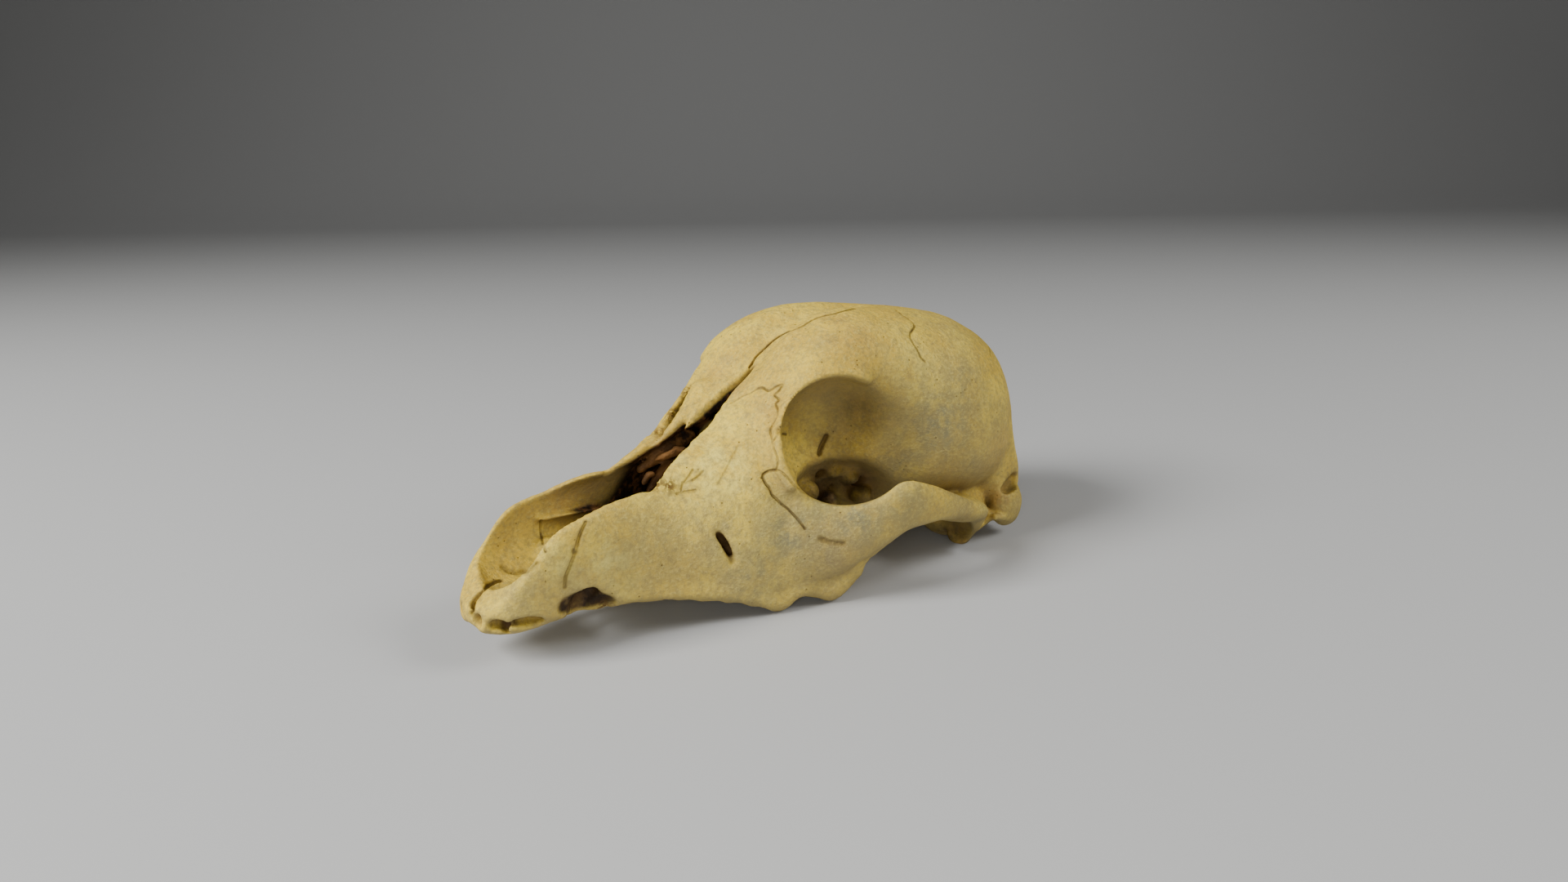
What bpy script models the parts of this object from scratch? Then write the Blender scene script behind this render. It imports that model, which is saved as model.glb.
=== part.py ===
"""A small poodle's cranium, bare bone, without its lower jaw and without teeth.

The skull's left is +X, its nose points to -Y and up is +Z. The tables below are in the skull's own
frame, where y runs back from the front of the upper jaw and z rises from the palate. At the end the
whole bone is tipped back a little and set down, so that it rests on its cheek-tooth ridges in front
and on its ear capsules behind, with the origin on the ground under the middle of its box.
"""
import math

import bmesh
import bpy
from mathutils import Euler, Matrix, Vector

# Driving dimensions, in metres
SKULL_LENGTH = 0.130
VAULT_WALL = 0.0026
REST_PITCH = math.radians(3.4)

# One unit of the tables below is a millimetre on a skull of the driving length
MM = SKULL_LENGTH / 130
FORM_VOXEL = 0.9 * MM
BONE_VOXEL = 0.62 * MM
SMOOTH_SHARE = 0.5
FORM_ROUNDS = 8
BONE_ROUNDS = 3
THIN_SHARE = 0.038
RING_POINTS = 44
RING_STEPS = 3
BEAD_STEPS = 5
SMALL_BALL, BALL, LARGE_BALL = 12, 20, 32
ORBIT_CENTRE = (23.0, 71.0, 31.2)
ORBIT_RADII = (14.2, 13.4, 12.4)
TEMPLE_CENTRE = (31.0, 83.0, 24.0)
TEMPLE_RADII = (11.5, 15.0, 16.0)
CHEEK_BACK_FOOT = (0.0, 69.5, -1.2)
CHEEK_BACK_SLANT = math.radians(33.4)
VAULT_MIDDLE, VAULT_BACK = 106.0, 132.0
BRAIN_ROOM_FRONT = 82.0
BONE_COLOUR = (0.56, 0.43, 0.22, 1.0)
BONE_ROUGHNESS = 0.62


def clear_scene():
    for thing in list(bpy.data.objects):
        bpy.data.objects.remove(thing, do_unlink=True)


def collection(name):
    group = bpy.data.collections.new(name)
    bpy.context.scene.collection.children.link(group)
    return group


def bone_material():
    """Dry, yellowed bone: no metal, mostly matt."""
    material = bpy.data.materials.new("bone")
    material.use_nodes = True
    shader = material.node_tree.nodes["Principled BSDF"]
    shader.inputs["Base Color"].default_value = BONE_COLOUR
    shader.inputs["Roughness"].default_value = BONE_ROUGHNESS
    shader.inputs["Metallic"].default_value = 0.0
    return material


def through(rows, steps):
    """Fill in between rows with cubic pieces. A row's slope is the mean of the steps on its two sides."""
    last = len(rows) - 1
    filled = []
    for i in range(last):
        here, there = Vector(rows[i]), Vector(rows[i + 1])
        before, after = Vector(rows[max(i - 1, 0)]), Vector(rows[min(i + 2, last)])
        leave = (there - before) / (2 if i > 0 else 1)
        arrive = (after - here) / (2 if i + 1 < last else 1)
        for k in range(steps):
            t = k / steps
            filled.append(here * (1 + 2 * t) * (1 - t) ** 2 + leave * t * (1 - t) ** 2
                          + there * t * t * (3 - 2 * t) + arrive * t * t * (t - 1))
    return filled + [Vector(rows[last])]


def add_loft(bm, stations):
    """Skin over sections across y. A station is y, half width, height of the widest line, top, bottom,
    and the powers of the superellipse above and below that line: 2 is round, more is squarer."""
    previous = None
    for y, width, beam, top, bottom, top_power, bottom_power in through(stations, RING_STEPS):
        ring = []
        for k in range(RING_POINTS):
            angle = 2 * math.pi * k / RING_POINTS
            c, s = math.cos(angle), math.sin(angle)
            power = 2 / (top_power if s >= 0 else bottom_power)
            reach = top - beam if s >= 0 else beam - bottom
            x = width * math.copysign(abs(c) ** power, c)
            z = beam + reach * math.copysign(abs(s) ** power, s)
            ring.append(bm.verts.new((x * MM, y * MM, z * MM)))
        if previous:
            for k in range(RING_POINTS):
                n = (k + 1) % RING_POINTS
                bm.faces.new((previous[k], previous[n], ring[n], ring[k]))
        else:
            bm.faces.new(ring)
        previous = ring
    bm.faces.new(list(reversed(previous)))


def unit_ball(sides):
    """Corners and faces of a ball of radius one."""
    bm = bmesh.new()
    bmesh.ops.create_uvsphere(bm, u_segments=sides, v_segments=sides // 2, radius=1)
    corners = [v.co.copy() for v in bm.verts]
    faces = [[v.index for v in face.verts] for face in bm.faces]
    bm.free()
    return corners, faces


BALLS = {sides: unit_ball(sides) for sides in (SMALL_BALL, BALL, LARGE_BALL)}


def add_egg(bm, centre, radii, turn=(0, 0, 0), sides=BALL, both=True):
    """An egg of three radii, turned by degrees about x, y and z, and its twin on the skull's right."""
    corners, faces = BALLS[sides]
    for side in (1, -1) if both and centre[0] else (1,):
        angles = (turn[0], turn[1] * side, turn[2] * side)
        tilt = Euler([math.radians(a) for a in angles]).to_matrix().to_4x4()
        place = Matrix.Translation(Vector((centre[0] * side, centre[1], centre[2])) * MM)
        size = Matrix.Diagonal((*[r * MM for r in radii], 1))
        shape = place @ tilt @ size
        verts = [bm.verts.new(shape @ corner) for corner in corners]
        for face in faces:
            bm.faces.new([verts[k] for k in face])


def add_bar(bm, path):
    """A bar of bone as a row of overlapping eggs. A path row is x, y, z, half thickness, half height."""
    for x, y, z, thick, high in through(path, BEAD_STEPS):
        add_egg(bm, (x, y, z), (thick, thick, high), sides=SMALL_BALL)


def new_form(name, group, fill, voxel=FORM_VOXEL):
    """Make an object from overlapping closed shells, melted into one skin by a voxel Remesh."""
    bm = bmesh.new()
    fill(bm)
    bmesh.ops.recalc_face_normals(bm, faces=bm.faces)
    mesh = bpy.data.meshes.new(name)
    bm.to_mesh(mesh)
    bm.free()
    form = bpy.data.objects.new(name, mesh)
    group.objects.link(form)
    fuse(form, voxel)
    return form


def fuse(form, voxel):
    remesh = form.modifiers.new("fuse", "REMESH")
    remesh.mode = "VOXEL"
    remesh.voxel_size = voxel


def soften(form, rounds):
    smooth = form.modifiers.new("soften", "SMOOTH")
    smooth.factor = SMOOTH_SHARE
    smooth.iterations = rounds


def thin_out(form, share):
    decimate = form.modifiers.new("thin", "DECIMATE")
    decimate.ratio = share


def combine(form, other, operation):
    boolean = form.modifiers.new(operation.lower(), "BOOLEAN")
    boolean.operation = operation
    boolean.solver = "EXACT"
    boolean.object = other
    other.hide_render = True
    other.display_type = "WIRE"


# Face: the incisive bones, the upper jaw and the cheeks as one closed muzzle form
def fill_face(bm):
    add_loft(bm, [
        (3.2, 2.0, 4.8, 6.5, 3.0, 2.0, 2.0),
        (4.4, 5.2, 4.8, 8.0, 2.0, 2.0, 2.2),
        (6.0, 7.5, 5.0, 9.8, 1.8, 3.0, 2.4),
        (8.2, 9.2, 5.0, 13.0, 1.8, 4.6, 2.6),
        (11.0, 10.0, 5.0, 17.5, 1.8, 4.0, 2.8),
        (15.0, 10.8, 5.5, 21.5, 2.0, 4.4, 3.0),
        (20.0, 11.7, 6.0, 23.2, 2.4, 5.6, 3.2),
        (28.0, 12.8, 5.5, 24.9, 2.6, 3.8, 3.6),
        (37.0, 14.6, 5.0, 26.9, 2.6, 2.35, 4.0),
        (45.0, 17.2, 5.5, 29.9, 1.6, 2.3, 4.0),
        (52.0, 19.8, 6.5, 32.8, 0.4, 2.6, 4.0),
        (58.0, 21.6, 8.0, 36.0, -1.2, 3.1, 4.0),
        (64.0, 24.0, 10.0, 40.0, -0.6, 3.8, 4.0),
        (70.0, 26.0, 11.5, 44.0, -1.2, 4.0, 4.0),
        (76.0, 27.5, 12.5, 45.0, -1.2, 4.0, 4.0)])


def fill_behind_face(bm):
    """Room behind the upper jaw: the slanted back of the cheek bone, and the hollow under each orbit."""
    wide, deep, tall = 90 * MM, 60 * MM, 160 * MM
    slant = Matrix.Translation(Vector(CHEEK_BACK_FOOT) * MM) @ Matrix.Rotation(-CHEEK_BACK_SLANT, 4, "X")
    block = Matrix.Translation((0, deep / 2, 0)) @ Matrix.Diagonal((wide, deep, tall, 1))
    bmesh.ops.create_cube(bm, size=1, matrix=slant @ block)
    add_egg(bm, (19, 79, 12), (9, 14, 13))
    add_egg(bm, (26, 76, 30), (18, 15, 12))


# Vault: forehead and brain case, pinched at the temples
VAULT = [
    (58.0, 16.6, 28, 35.5, 20.0, 4.0, 2.5),
    (62.0, 18.0, 30, 40.2, 20.0, 4.6, 2.5),
    (66.5, 19.3, 32, 45.8, 20.0, 4.6, 2.5),
    (70.0, 20.0, 32, 48.7, 19.0, 4.1, 2.5),
    (76.0, 20.8, 32, 52.2, 17.0, 3.6, 2.4),
    (82.0, 21.4, 31, 54.2, 15.0, 3.3, 2.3),
    (90.0, 23.3, 30, 54.8, 12.0, 2.8, 2.3),
    (98.0, 25.4, 29, 54.5, 10.5, 2.5, 2.3),
    (106.0, 26.3, 28, 53.8, 9.8, 2.4, 2.3),
    (114.0, 26.0, 27, 52.4, 9.5, 2.3, 2.3),
    (120.0, 24.6, 27, 50.8, 10.0, 2.1, 2.4),
    (125.5, 21.2, 26, 47.0, 10.5, 2.1, 2.4),
    (129.5, 17.0, 25, 41.0, 12.0, 2.2, 2.4),
    (132.0, 9.0, 24, 33.0, 15.0, 2.2, 2.2)]


def fill_vault(bm):
    add_loft(bm, VAULT)


def fill_temples(bm):
    """The hollow behind each orbit, and the shallow groove along the middle of the forehead."""
    add_egg(bm, TEMPLE_CENTRE, TEMPLE_RADII, sides=LARGE_BALL)
    add_bar(bm, [(0, 61.5, 44.0, 4.6, 4.6), (0, 66.5, 49.2, 4.8, 4.8), (0, 70.0, 51.8, 4.8, 4.8),
                 (0, 76.0, 55.2, 4.8, 4.8), (0, 83.0, 57.6, 4.8, 4.8), (0, 92.0, 58.9, 4.8, 4.8)])


# Middle: the narrow bone between the orbits, the skull's floor and all that stands out from it
def fill_frame_of_bone(bm):
    add_loft(bm, [
        (56, 11.0, 24, 34, 7.0, 3, 3), (66, 11.0, 26, 40, 7.5, 3, 3), (76, 10.5, 28, 44, 8.5, 3, 3),
        (86, 11.5, 26, 42, 9.0, 3, 3), (98, 16.0, 24, 38, 8.5, 3, 3)])
    add_egg(bm, (0, 105, 11), (9, 28, 3.2), both=False)
    add_cheek_arch(bm)
    add_tooth_ridge(bm)
    add_ear_region(bm)
    add_occiput(bm)
    add_throat_wings(bm)


def add_cheek_arch(bm):
    add_bar(bm, [
        (20.5, 62.0, 13.0, 3.0, 8.0), (25.5, 68.5, 13.0, 2.6, 7.8), (29.4, 74.5, 15.2, 2.1, 6.6),
        (31.6, 80.5, 18.3, 1.8, 5.5), (32.2, 88.0, 17.4, 1.8, 4.2), (31.4, 97.0, 15.0, 1.8, 3.2),
        (29.8, 104.0, 13.2, 1.8, 2.4), (28.0, 110.0, 11.6, 1.4, 1.8)])
    add_egg(bm, (23.0, 107.0, 12.2), (8.0, 8.0, 3.4), (0, -6, 0))


def add_tooth_ridge(bm):
    add_bar(bm, [
        (6.5, 9.0, 3.6, 1.6, 1.2), (7.8, 18.0, 5.0, 1.6, 1.4), (9.2, 27.0, 4.8, 1.8, 1.6),
        (12.0, 36.0, 4.6, 2.0, 1.6), (15.0, 45.0, 3.5, 2.3, 1.8), (17.5, 53.0, 2.6, 2.4, 1.8),
        (19.2, 58.0, 0.8, 2.4, 2.2), (20.6, 63.5, 2.2, 2.3, 1.8), (22.3, 68.6, 1.1, 2.2, 2.2)])


def add_ear_region(bm):
    """Ear capsule, the hook behind the jaw joint, and the mastoid with its downward process."""
    add_egg(bm, (14.5, 114.0, 9.0), (7.2, 10.5, 7.2), (0, 0, 14))
    add_bar(bm, [(20.8, 110.5, 9.0, 4.0, 3.0), (20.4, 109.6, 5.2, 3.6, 2.2)])
    add_egg(bm, (20.8, 123.5, 11.0), (4.2, 5.0, 8.5), (20, 8, 0))
    add_bar(bm, [(17.5, 126.0, 10.0, 3.0, 3.0), (17.0, 127.0, 5.5, 2.0, 2.0)])


def add_occiput(bm):
    """Knobs that met the first neck bone, and the low crest round the back of the head."""
    add_egg(bm, (8.5, 129.0, 13.0), (4.4, 4.0, 6.0), (0, 25, 0))
    add_bar(bm, [
        (0.5, 129.4, 43.0, 1.3, 1.3), (7.0, 128.4, 43.2, 1.2, 1.2), (13.0, 126.0, 40.0, 1.2, 1.2),
        (18.0, 124.0, 33.0, 1.2, 1.2), (21.4, 123.4, 24.0, 1.4, 1.4), (22.4, 123.6, 16.0, 1.8, 1.8)])


def add_throat_wings(bm):
    add_bar(bm, [
        (7.8, 66.0, 9.0, 1.2, 6.0), (7.7, 72.0, 8.5, 1.0, 5.8), (7.8, 80.0, 7.5, 1.0, 5.2),
        (8.2, 88.0, 6.5, 1.0, 4.0)])


# Hollows, all cut after the forms are one bone
def fill_orbits(bm):
    add_egg(bm, ORBIT_CENTRE, ORBIT_RADII, sides=LARGE_BALL)


def fill_orbits_with_wall(bm):
    wall = VAULT_WALL / MM
    add_egg(bm, ORBIT_CENTRE, [r + wall for r in ORBIT_RADII], sides=LARGE_BALL)
    add_egg(bm, TEMPLE_CENTRE, [r + wall for r in TEMPLE_RADII], sides=LARGE_BALL)


def fill_brain_room(bm):
    """The vault drawn in by its wall on every side, and the great opening for the spinal cord."""
    wall = VAULT_WALL / MM
    length = VAULT_BACK - VAULT_MIDDLE
    add_loft(bm, [
        (y + wall * (VAULT_MIDDLE - y) / length, width - wall, beam, top - wall, bottom + wall, *powers)
        for y, width, beam, top, bottom, *powers in VAULT if y >= BRAIN_ROOM_FRONT])
    add_egg(bm, (0, 131, 20.0), (7.0, 9.0, 7.2), both=False)


def fill_nose_room(bm):
    add_loft(bm, [
        (9.4, 6.5, 9.5, 13.0, 7.8, 2.0, 2.0), (11.0, 7.8, 9.5, 20.0, 6.2, 2.4, 2.2),
        (15.0, 8.9, 10.0, 26.0, 5.6, 3.0, 2.2), (22.0, 9.6, 10.0, 26.0, 5.4, 3.0, 2.3),
        (30.0, 10.6, 10.0, 26.0, 5.6, 3.0, 2.4), (38.0, 11.6, 10.5, 24.6, 6.0, 2.3, 2.4),
        (46.0, 13.2, 11.0, 27.4, 6.6, 2.3, 2.4), (54.0, 13.6, 13.0, 30.6, 7.2, 2.6, 2.4),
        (60.0, 11.5, 16.0, 34.0, 8.5, 2.6, 2.4), (68.0, 7.5, 22.0, 37.0, 13.0, 2.4, 2.4)])
    add_egg(bm, (0, 9.2, 17.0), (8.6, 5.6, 8.4), both=False)


def fill_nose_opening(bm):
    """The nasal bones are lost: the opening's rim climbs back from the incisive bones, then its two
    sides draw together to a point at the foot of the forehead."""
    rim = [(-2.0, 4.0), (5.8, 7.5), (8.1, 10.5), (10.6, 13.4), (13.1, 16.7), (16.5, 19.4), (20.6, 21.0),
           (26.6, 22.4), (30.0, 22.9), (37.4, 23.7)]
    slot = [(36.0, 8.4), (41.0, 6.2), (48.9, 4.2), (53.9, 3.1), (58.1, 2.2), (63.3, 1.2), (66.5, 0.4)]
    high = 70
    add_prism(bm, [(-30, y, z) for y, z in rim] + [(-30, 37.4, high), (-30, -2.0, high)], (60, 0, 0))
    add_prism(bm, [(x, y, 20) for y, x in slot] + [(-x, y, 20) for y, x in reversed(slot)], (0, 0, high - 20))


def add_prism(bm, outline, way):
    """A flat outline carried straight along one way."""
    low = [bm.verts.new(Vector(p) * MM) for p in outline]
    high = [bm.verts.new((Vector(p) + Vector(way)) * MM) for p in outline]
    bm.faces.new(low)
    bm.faces.new(list(reversed(high)))
    for k in range(len(outline)):
        n = (k + 1) % len(outline)
        bm.faces.new((low[k], low[n], high[n], high[k]))


def fill_underside(bm):
    """Palate vault, throat opening and the joint hollow for the lower jaw."""
    add_loft(bm, [
        (22, 4.0, 0, 4.0, -9, 2.2, 2), (30, 5.5, 0, 4.0, -9, 2.4, 2), (40, 9.0, 0, 4.4, -9, 2.6, 2),
        (50, 12.5, 0, 4.6, -9, 2.8, 2), (60, 15.0, 0, 4.8, -9, 3.0, 2), (72, 17.0, 0, 5.0, -9, 3.0, 2)])
    add_egg(bm, (0, 80, 6.0), (6.2, 17.5, 6.8), both=False)
    add_egg(bm, (21.5, 104.5, 5.5), (6.5, 4.5, 4.5))


def fill_sockets(bm):
    """Empty tooth sockets. A row is x, y, z of the mouth, then the radii across, along and deep."""
    sockets = [
        (1.6, 5.3, 2.0, 1.0, 1.3, 3.0), (4.2, 6.6, 1.8, 1.1, 1.4, 3.2), (6.9, 9.0, 1.8, 1.3, 1.8, 3.6),
        (11.2, 21.8, 3.6, 3.3, 4.9, 4.6),
        (10.6, 31.0, 3.0, 1.2, 1.6, 3.0), (12.4, 37.0, 3.0, 1.3, 1.8, 3.0), (13.6, 41.2, 2.6, 1.3, 1.8, 3.0),
        (15.1, 46.2, 1.8, 1.4, 1.9, 3.4), (16.4, 50.4, 1.4, 1.5, 2.0, 3.4), (17.8, 55.6, 0.4, 1.6, 2.2, 3.8),
        (19.6, 61.8, 0.8, 1.9, 2.3, 3.4), (20.6, 67.0, -0.2, 1.6, 1.6, 2.8)]
    for x, y, z, across, along, deep in sockets:
        add_egg(bm, (x, y, z), (across, along, deep), sides=SMALL_BALL)


def fill_side_openings(bm):
    """The nerve opening in each cheek and the ear opening behind each jaw joint."""
    add_bar(bm, [(18.6, 46.8, 12.2, 1.4, 3.2), (16.6, 50.5, 12.6, 1.3, 2.6)])
    add_egg(bm, (24.0, 117.2, 10.5), (5.4, 2.8, 2.6))


def set_down(stand, bone):
    """Tip the bone back with all that shapes it, and put its box on the ground over the origin."""
    stand.rotation_euler = (-REST_PITCH, 0, 0)
    bpy.context.view_layer.update()
    shaped = bone.evaluated_get(bpy.context.evaluated_depsgraph_get())
    points = [shaped.matrix_world @ v.co for v in shaped.data.vertices]
    low = Vector([min(p[k] for p in points) for k in range(3)])
    high = Vector([max(p[k] for p in points) for k in range(3)])
    stand.location = -Vector(((low.x + high.x) / 2, (low.y + high.y) / 2, low.z))


def main():
    clear_scene()
    skull = collection("poodle_skull")
    cutters = collection("cutters")
    face = new_form("face_form", cutters, fill_face)
    combine(face, new_form("behind_face", cutters, fill_behind_face), "DIFFERENCE")
    vault = new_form("vault_form", cutters, fill_vault)
    combine(vault, new_form("temples", cutters, fill_temples), "DIFFERENCE")
    brain_room = new_form("brain_room", cutters, fill_brain_room)
    nose_room = new_form("nose_room", cutters, fill_nose_room)
    orbits_with_wall = new_form("orbits_with_wall", cutters, fill_orbits_with_wall)
    combine(brain_room, orbits_with_wall, "DIFFERENCE")
    combine(nose_room, orbits_with_wall, "DIFFERENCE")

    bone = new_form("cranium", skull, fill_frame_of_bone)
    combine(bone, face, "UNION")
    combine(bone, vault, "UNION")
    fuse(bone, BONE_VOXEL)
    soften(bone, FORM_ROUNDS)
    hollows = {"orbits": fill_orbits, "nose_opening": fill_nose_opening, "underside": fill_underside,
               "sockets": fill_sockets, "side_openings": fill_side_openings}
    for name, fill in hollows.items():
        combine(bone, new_form(name, cutters, fill), "DIFFERENCE")
    combine(bone, nose_room, "DIFFERENCE")
    combine(bone, brain_room, "DIFFERENCE")
    fuse(bone, BONE_VOXEL)
    soften(bone, BONE_ROUNDS)
    thin_out(bone, THIN_SHARE)
    bone.data.materials.append(bone_material())

    stand = bpy.data.objects.new("stand", None)
    skull.objects.link(stand)
    for form in [bone, *cutters.objects]:
        form.parent = stand
    set_down(stand, bone)


main()
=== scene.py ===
"""A small poodle's dry cranium: its fine surface, open sutures, broken nose and stained bone.

Tables are in millimetres in the skull's own frame: x to the skull's left, y back from the front of the
upper jaw, z up from the palate. The skull's right side mirrors its left until a section says otherwise.
The finished surface is then tipped back a little and set on the ground, in metres.
"""
import math

import bmesh
import bpy
import numpy as np
from mathutils import Matrix, Vector


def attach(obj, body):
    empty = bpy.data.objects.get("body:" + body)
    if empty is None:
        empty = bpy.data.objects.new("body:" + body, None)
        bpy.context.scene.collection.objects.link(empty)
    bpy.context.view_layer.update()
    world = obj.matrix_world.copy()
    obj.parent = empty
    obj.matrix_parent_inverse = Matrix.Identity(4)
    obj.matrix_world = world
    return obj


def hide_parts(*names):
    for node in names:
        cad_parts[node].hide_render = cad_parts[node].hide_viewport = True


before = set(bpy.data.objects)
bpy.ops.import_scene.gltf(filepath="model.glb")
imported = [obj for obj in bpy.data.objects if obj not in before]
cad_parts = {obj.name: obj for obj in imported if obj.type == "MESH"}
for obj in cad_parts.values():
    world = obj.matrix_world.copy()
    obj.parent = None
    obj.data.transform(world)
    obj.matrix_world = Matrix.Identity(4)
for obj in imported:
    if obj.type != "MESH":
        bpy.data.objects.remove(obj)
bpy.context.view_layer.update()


# The face: incisive bones, upper jaws and cheek bones as one long muzzle, low and narrow in front, whose
# cheeks end in a slanted edge behind the last tooth and are hollow under each orbit. Forms are added to and
# cut from a space: a grid of points over the left half, each holding its rough distance from the bone.
STEP = 0.45
SPACE_LOW = (0.0, -2.0, -8.0)
SPACE_HIGH = (37.0, 137.0, 59.0)
REACH = 4.0
FAR = 99.0
LEAST_STEEPNESS = 0.012
axes = [np.arange(low, high, STEP, dtype=np.float32) for low, high in zip(SPACE_LOW, SPACE_HIGH)]


def empty_space():
    """A space without bone: every point is far outside."""
    return np.full([len(axis) for axis in axes], FAR, np.float32)


def around(low, high):
    """The part of the grid near a box, as slices, and its coordinates."""
    span = tuple(slice(*np.searchsorted(axis, (a - REACH, b + REACH))) for axis, a, b in zip(axes, low, high))
    return span, *np.meshgrid(*(axis[part] for axis, part in zip(axes, span)), indexing="ij", sparse=True)


def join(a, b, soft):
    """The lesser of two distances. Where they differ by less than soft, they are blended, less a parabola
    that is soft / 4 deep at the middle, so that the corner between the two surfaces is filled."""
    share = np.clip(0.5 + 0.5 * (b - a) / soft, 0, 1)
    return b + (a - b) * share - soft * share * (1 - share)


def add(space, form, soft=0.5):
    """The form's bone joined to the space's."""
    span, distance = form
    space[span] = join(space[span], distance, soft)


def cut(space, form, soft=0.5):
    """The form taken out of the space's bone: what is outside the bone is joined to the form."""
    span, distance = form
    space[span] = -join(-space[span], distance, soft)


def curve(rows, places):
    """A smooth line through rows of (place, value): a cubic between each two rows, whose slope at a row is
    the mean of the steps to its two neighbours."""
    at, value = np.array(rows, float).T
    places = np.clip(places, at[0], at[-1])
    steps = np.diff(value) / np.diff(at)
    slope = np.concatenate([steps[:1], (steps[1:] + steps[:-1]) / 2, steps[-1:]])
    i = np.clip(np.searchsorted(at, places, side="right") - 1, 0, len(at) - 2)
    width = at[i + 1] - at[i]
    t = (places - at[i]) / width
    return (value[i] * (1 + 2 * t) * (1 - t) ** 2 + slope[i] * width * t * (1 - t) ** 2
            + value[i + 1] * t * t * (3 - 2 * t) + slope[i + 1] * width * t * t * (t - 1))


def loft(stations):
    """Sections carried back along y. A station is y, half width, height of the widest line, top, bottom,
    and the powers of the superellipse above and below that line: 2 is round, more is squarer. The distance
    is the superellipse's value, less 1, over how steeply it changes there."""
    table = np.array(stations, float)
    low = (0, table[0, 0], table[:, 4].min())
    high = (table[:, 1].max(), table[-1, 0], table[:, 3].max())
    span, X, Y, Z = around(low, high)
    y = Y.ravel()
    half, beam, top, bottom, top_power, bottom_power = (
        curve(table[:, [0, k]], y)[None, :, None].astype(np.float32) for k in range(1, 7))
    above = Z >= beam
    tall = np.where(above, top - beam, beam - bottom)
    power = np.where(above, top_power, bottom_power)
    value = ((np.abs(X) / half) ** power + (np.abs(Z - beam) / tall) ** power + 1e-9) ** (1 / power) - 1
    steepness = np.sqrt(sum(part ** 2 for part in np.gradient(value, STEP)))
    distance = value / np.maximum(steepness, LEAST_STEEPNESS)
    return span, np.maximum(distance, np.maximum(table[0, 0] - Y, Y - table[-1, 0]))


def egg(centre, radii, turn=(0, 0, 0)):
    """An egg of three radii, turned by degrees about x, then y, then z. In its own turned axes a place's
    share of the radii, times that share less 1, over its slope is about the distance from the egg."""
    reach = np.array([max(radii)] * 3 if any(turn) else radii)
    span, X, Y, Z = around(centre - reach, centre + reach)
    (cx, cy, cz), (sx, sy, sz) = np.cos(np.radians(turn)), np.sin(np.radians(turn))
    about_x = np.array(((1, 0, 0), (0, cx, -sx), (0, sx, cx)))
    about_y = np.array(((cy, 0, sy), (0, 1, 0), (-sy, 0, cy)))
    about_z = np.array(((cz, -sz, 0), (sz, cz, 0), (0, 0, 1)))
    tilt = (about_z @ about_y @ about_x).astype(np.float32)
    offset = (X - centre[0], Y - centre[1], Z - centre[2])
    local = [sum(tilt[i, k] * offset[i] for i in range(3)) for k in range(3)]
    near = np.sqrt(sum((part / r) ** 2 for part, r in zip(local, radii)))
    slope = np.sqrt(sum((part / r ** 2) ** 2 for part, r in zip(local, radii))) + 1e-6
    return span, near * (near - 1) / slope


face = empty_space()
add(face, loft([
    (3.2, 2.0, 4.8, 6.5, 3.0, 2.0, 2.0),
    (4.4, 5.2, 4.8, 8.0, 2.0, 2.0, 2.2),
    (6.0, 7.5, 5.0, 9.8, 1.6, 3.0, 2.4),
    (8.2, 9.2, 5.0, 13.0, 1.5, 4.6, 2.6),
    (11.0, 10.1, 5.0, 17.5, 2.0, 4.0, 2.8),
    (15.0, 10.7, 5.5, 21.5, 2.4, 4.4, 3.0),
    (20.0, 11.3, 6.0, 23.2, 3.0, 5.0, 3.2),
    (28.0, 12.6, 5.8, 24.9, 3.6, 3.4, 3.6),
    (37.0, 14.6, 5.5, 26.9, 3.8, 2.3, 4.0),
    (45.0, 17.2, 5.8, 29.9, 2.6, 2.3, 4.0),
    (52.0, 19.8, 6.5, 32.8, 0.8, 2.6, 4.0),
    (58.0, 21.6, 8.0, 36.0, -1.6, 3.1, 4.0),
    (64.0, 24.0, 10.0, 40.0, -0.6, 3.8, 4.0),
    (70.0, 26.0, 11.5, 44.0, -1.2, 4.0, 4.0),
    (76.0, 27.5, 12.5, 45.0, -1.2, 4.0, 4.0)]))
CHEEK_BACK = 71.6
CHEEK_BACK_LEAN = 0.66
CHEEK_BACK_FOOT = -1.2
span, X, Y, Z = around((0, 60, -8), (37, 80, 59))
lean = math.hypot(1, CHEEK_BACK_LEAN)
face[span] = np.maximum(face[span], (Y - CHEEK_BACK - CHEEK_BACK_LEAN * (Z - CHEEK_BACK_FOOT)) / lean)
cut(face, egg((18.5, 80, 12), (8.4, 13.6, 12.6)), 1.5)
cut(face, egg((26, 76, 30), (18, 15, 12)), 2.0)


# The vault: a rounded brain case that runs forward into the forehead. It is pinched at the temples, and
# a shallow groove runs down the middle of the forehead.
def smooth_path(rows, pieces):
    """More rows along a smooth line through the given ones, each column a curve over the row's number."""
    rows = np.array(rows, float)
    count = np.arange(len(rows))
    fine = np.linspace(0, len(rows) - 1, (len(rows) - 1) * pieces + 1)
    return np.stack([curve(np.stack([count, column], 1), fine) for column in rows.T], 1)


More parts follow.
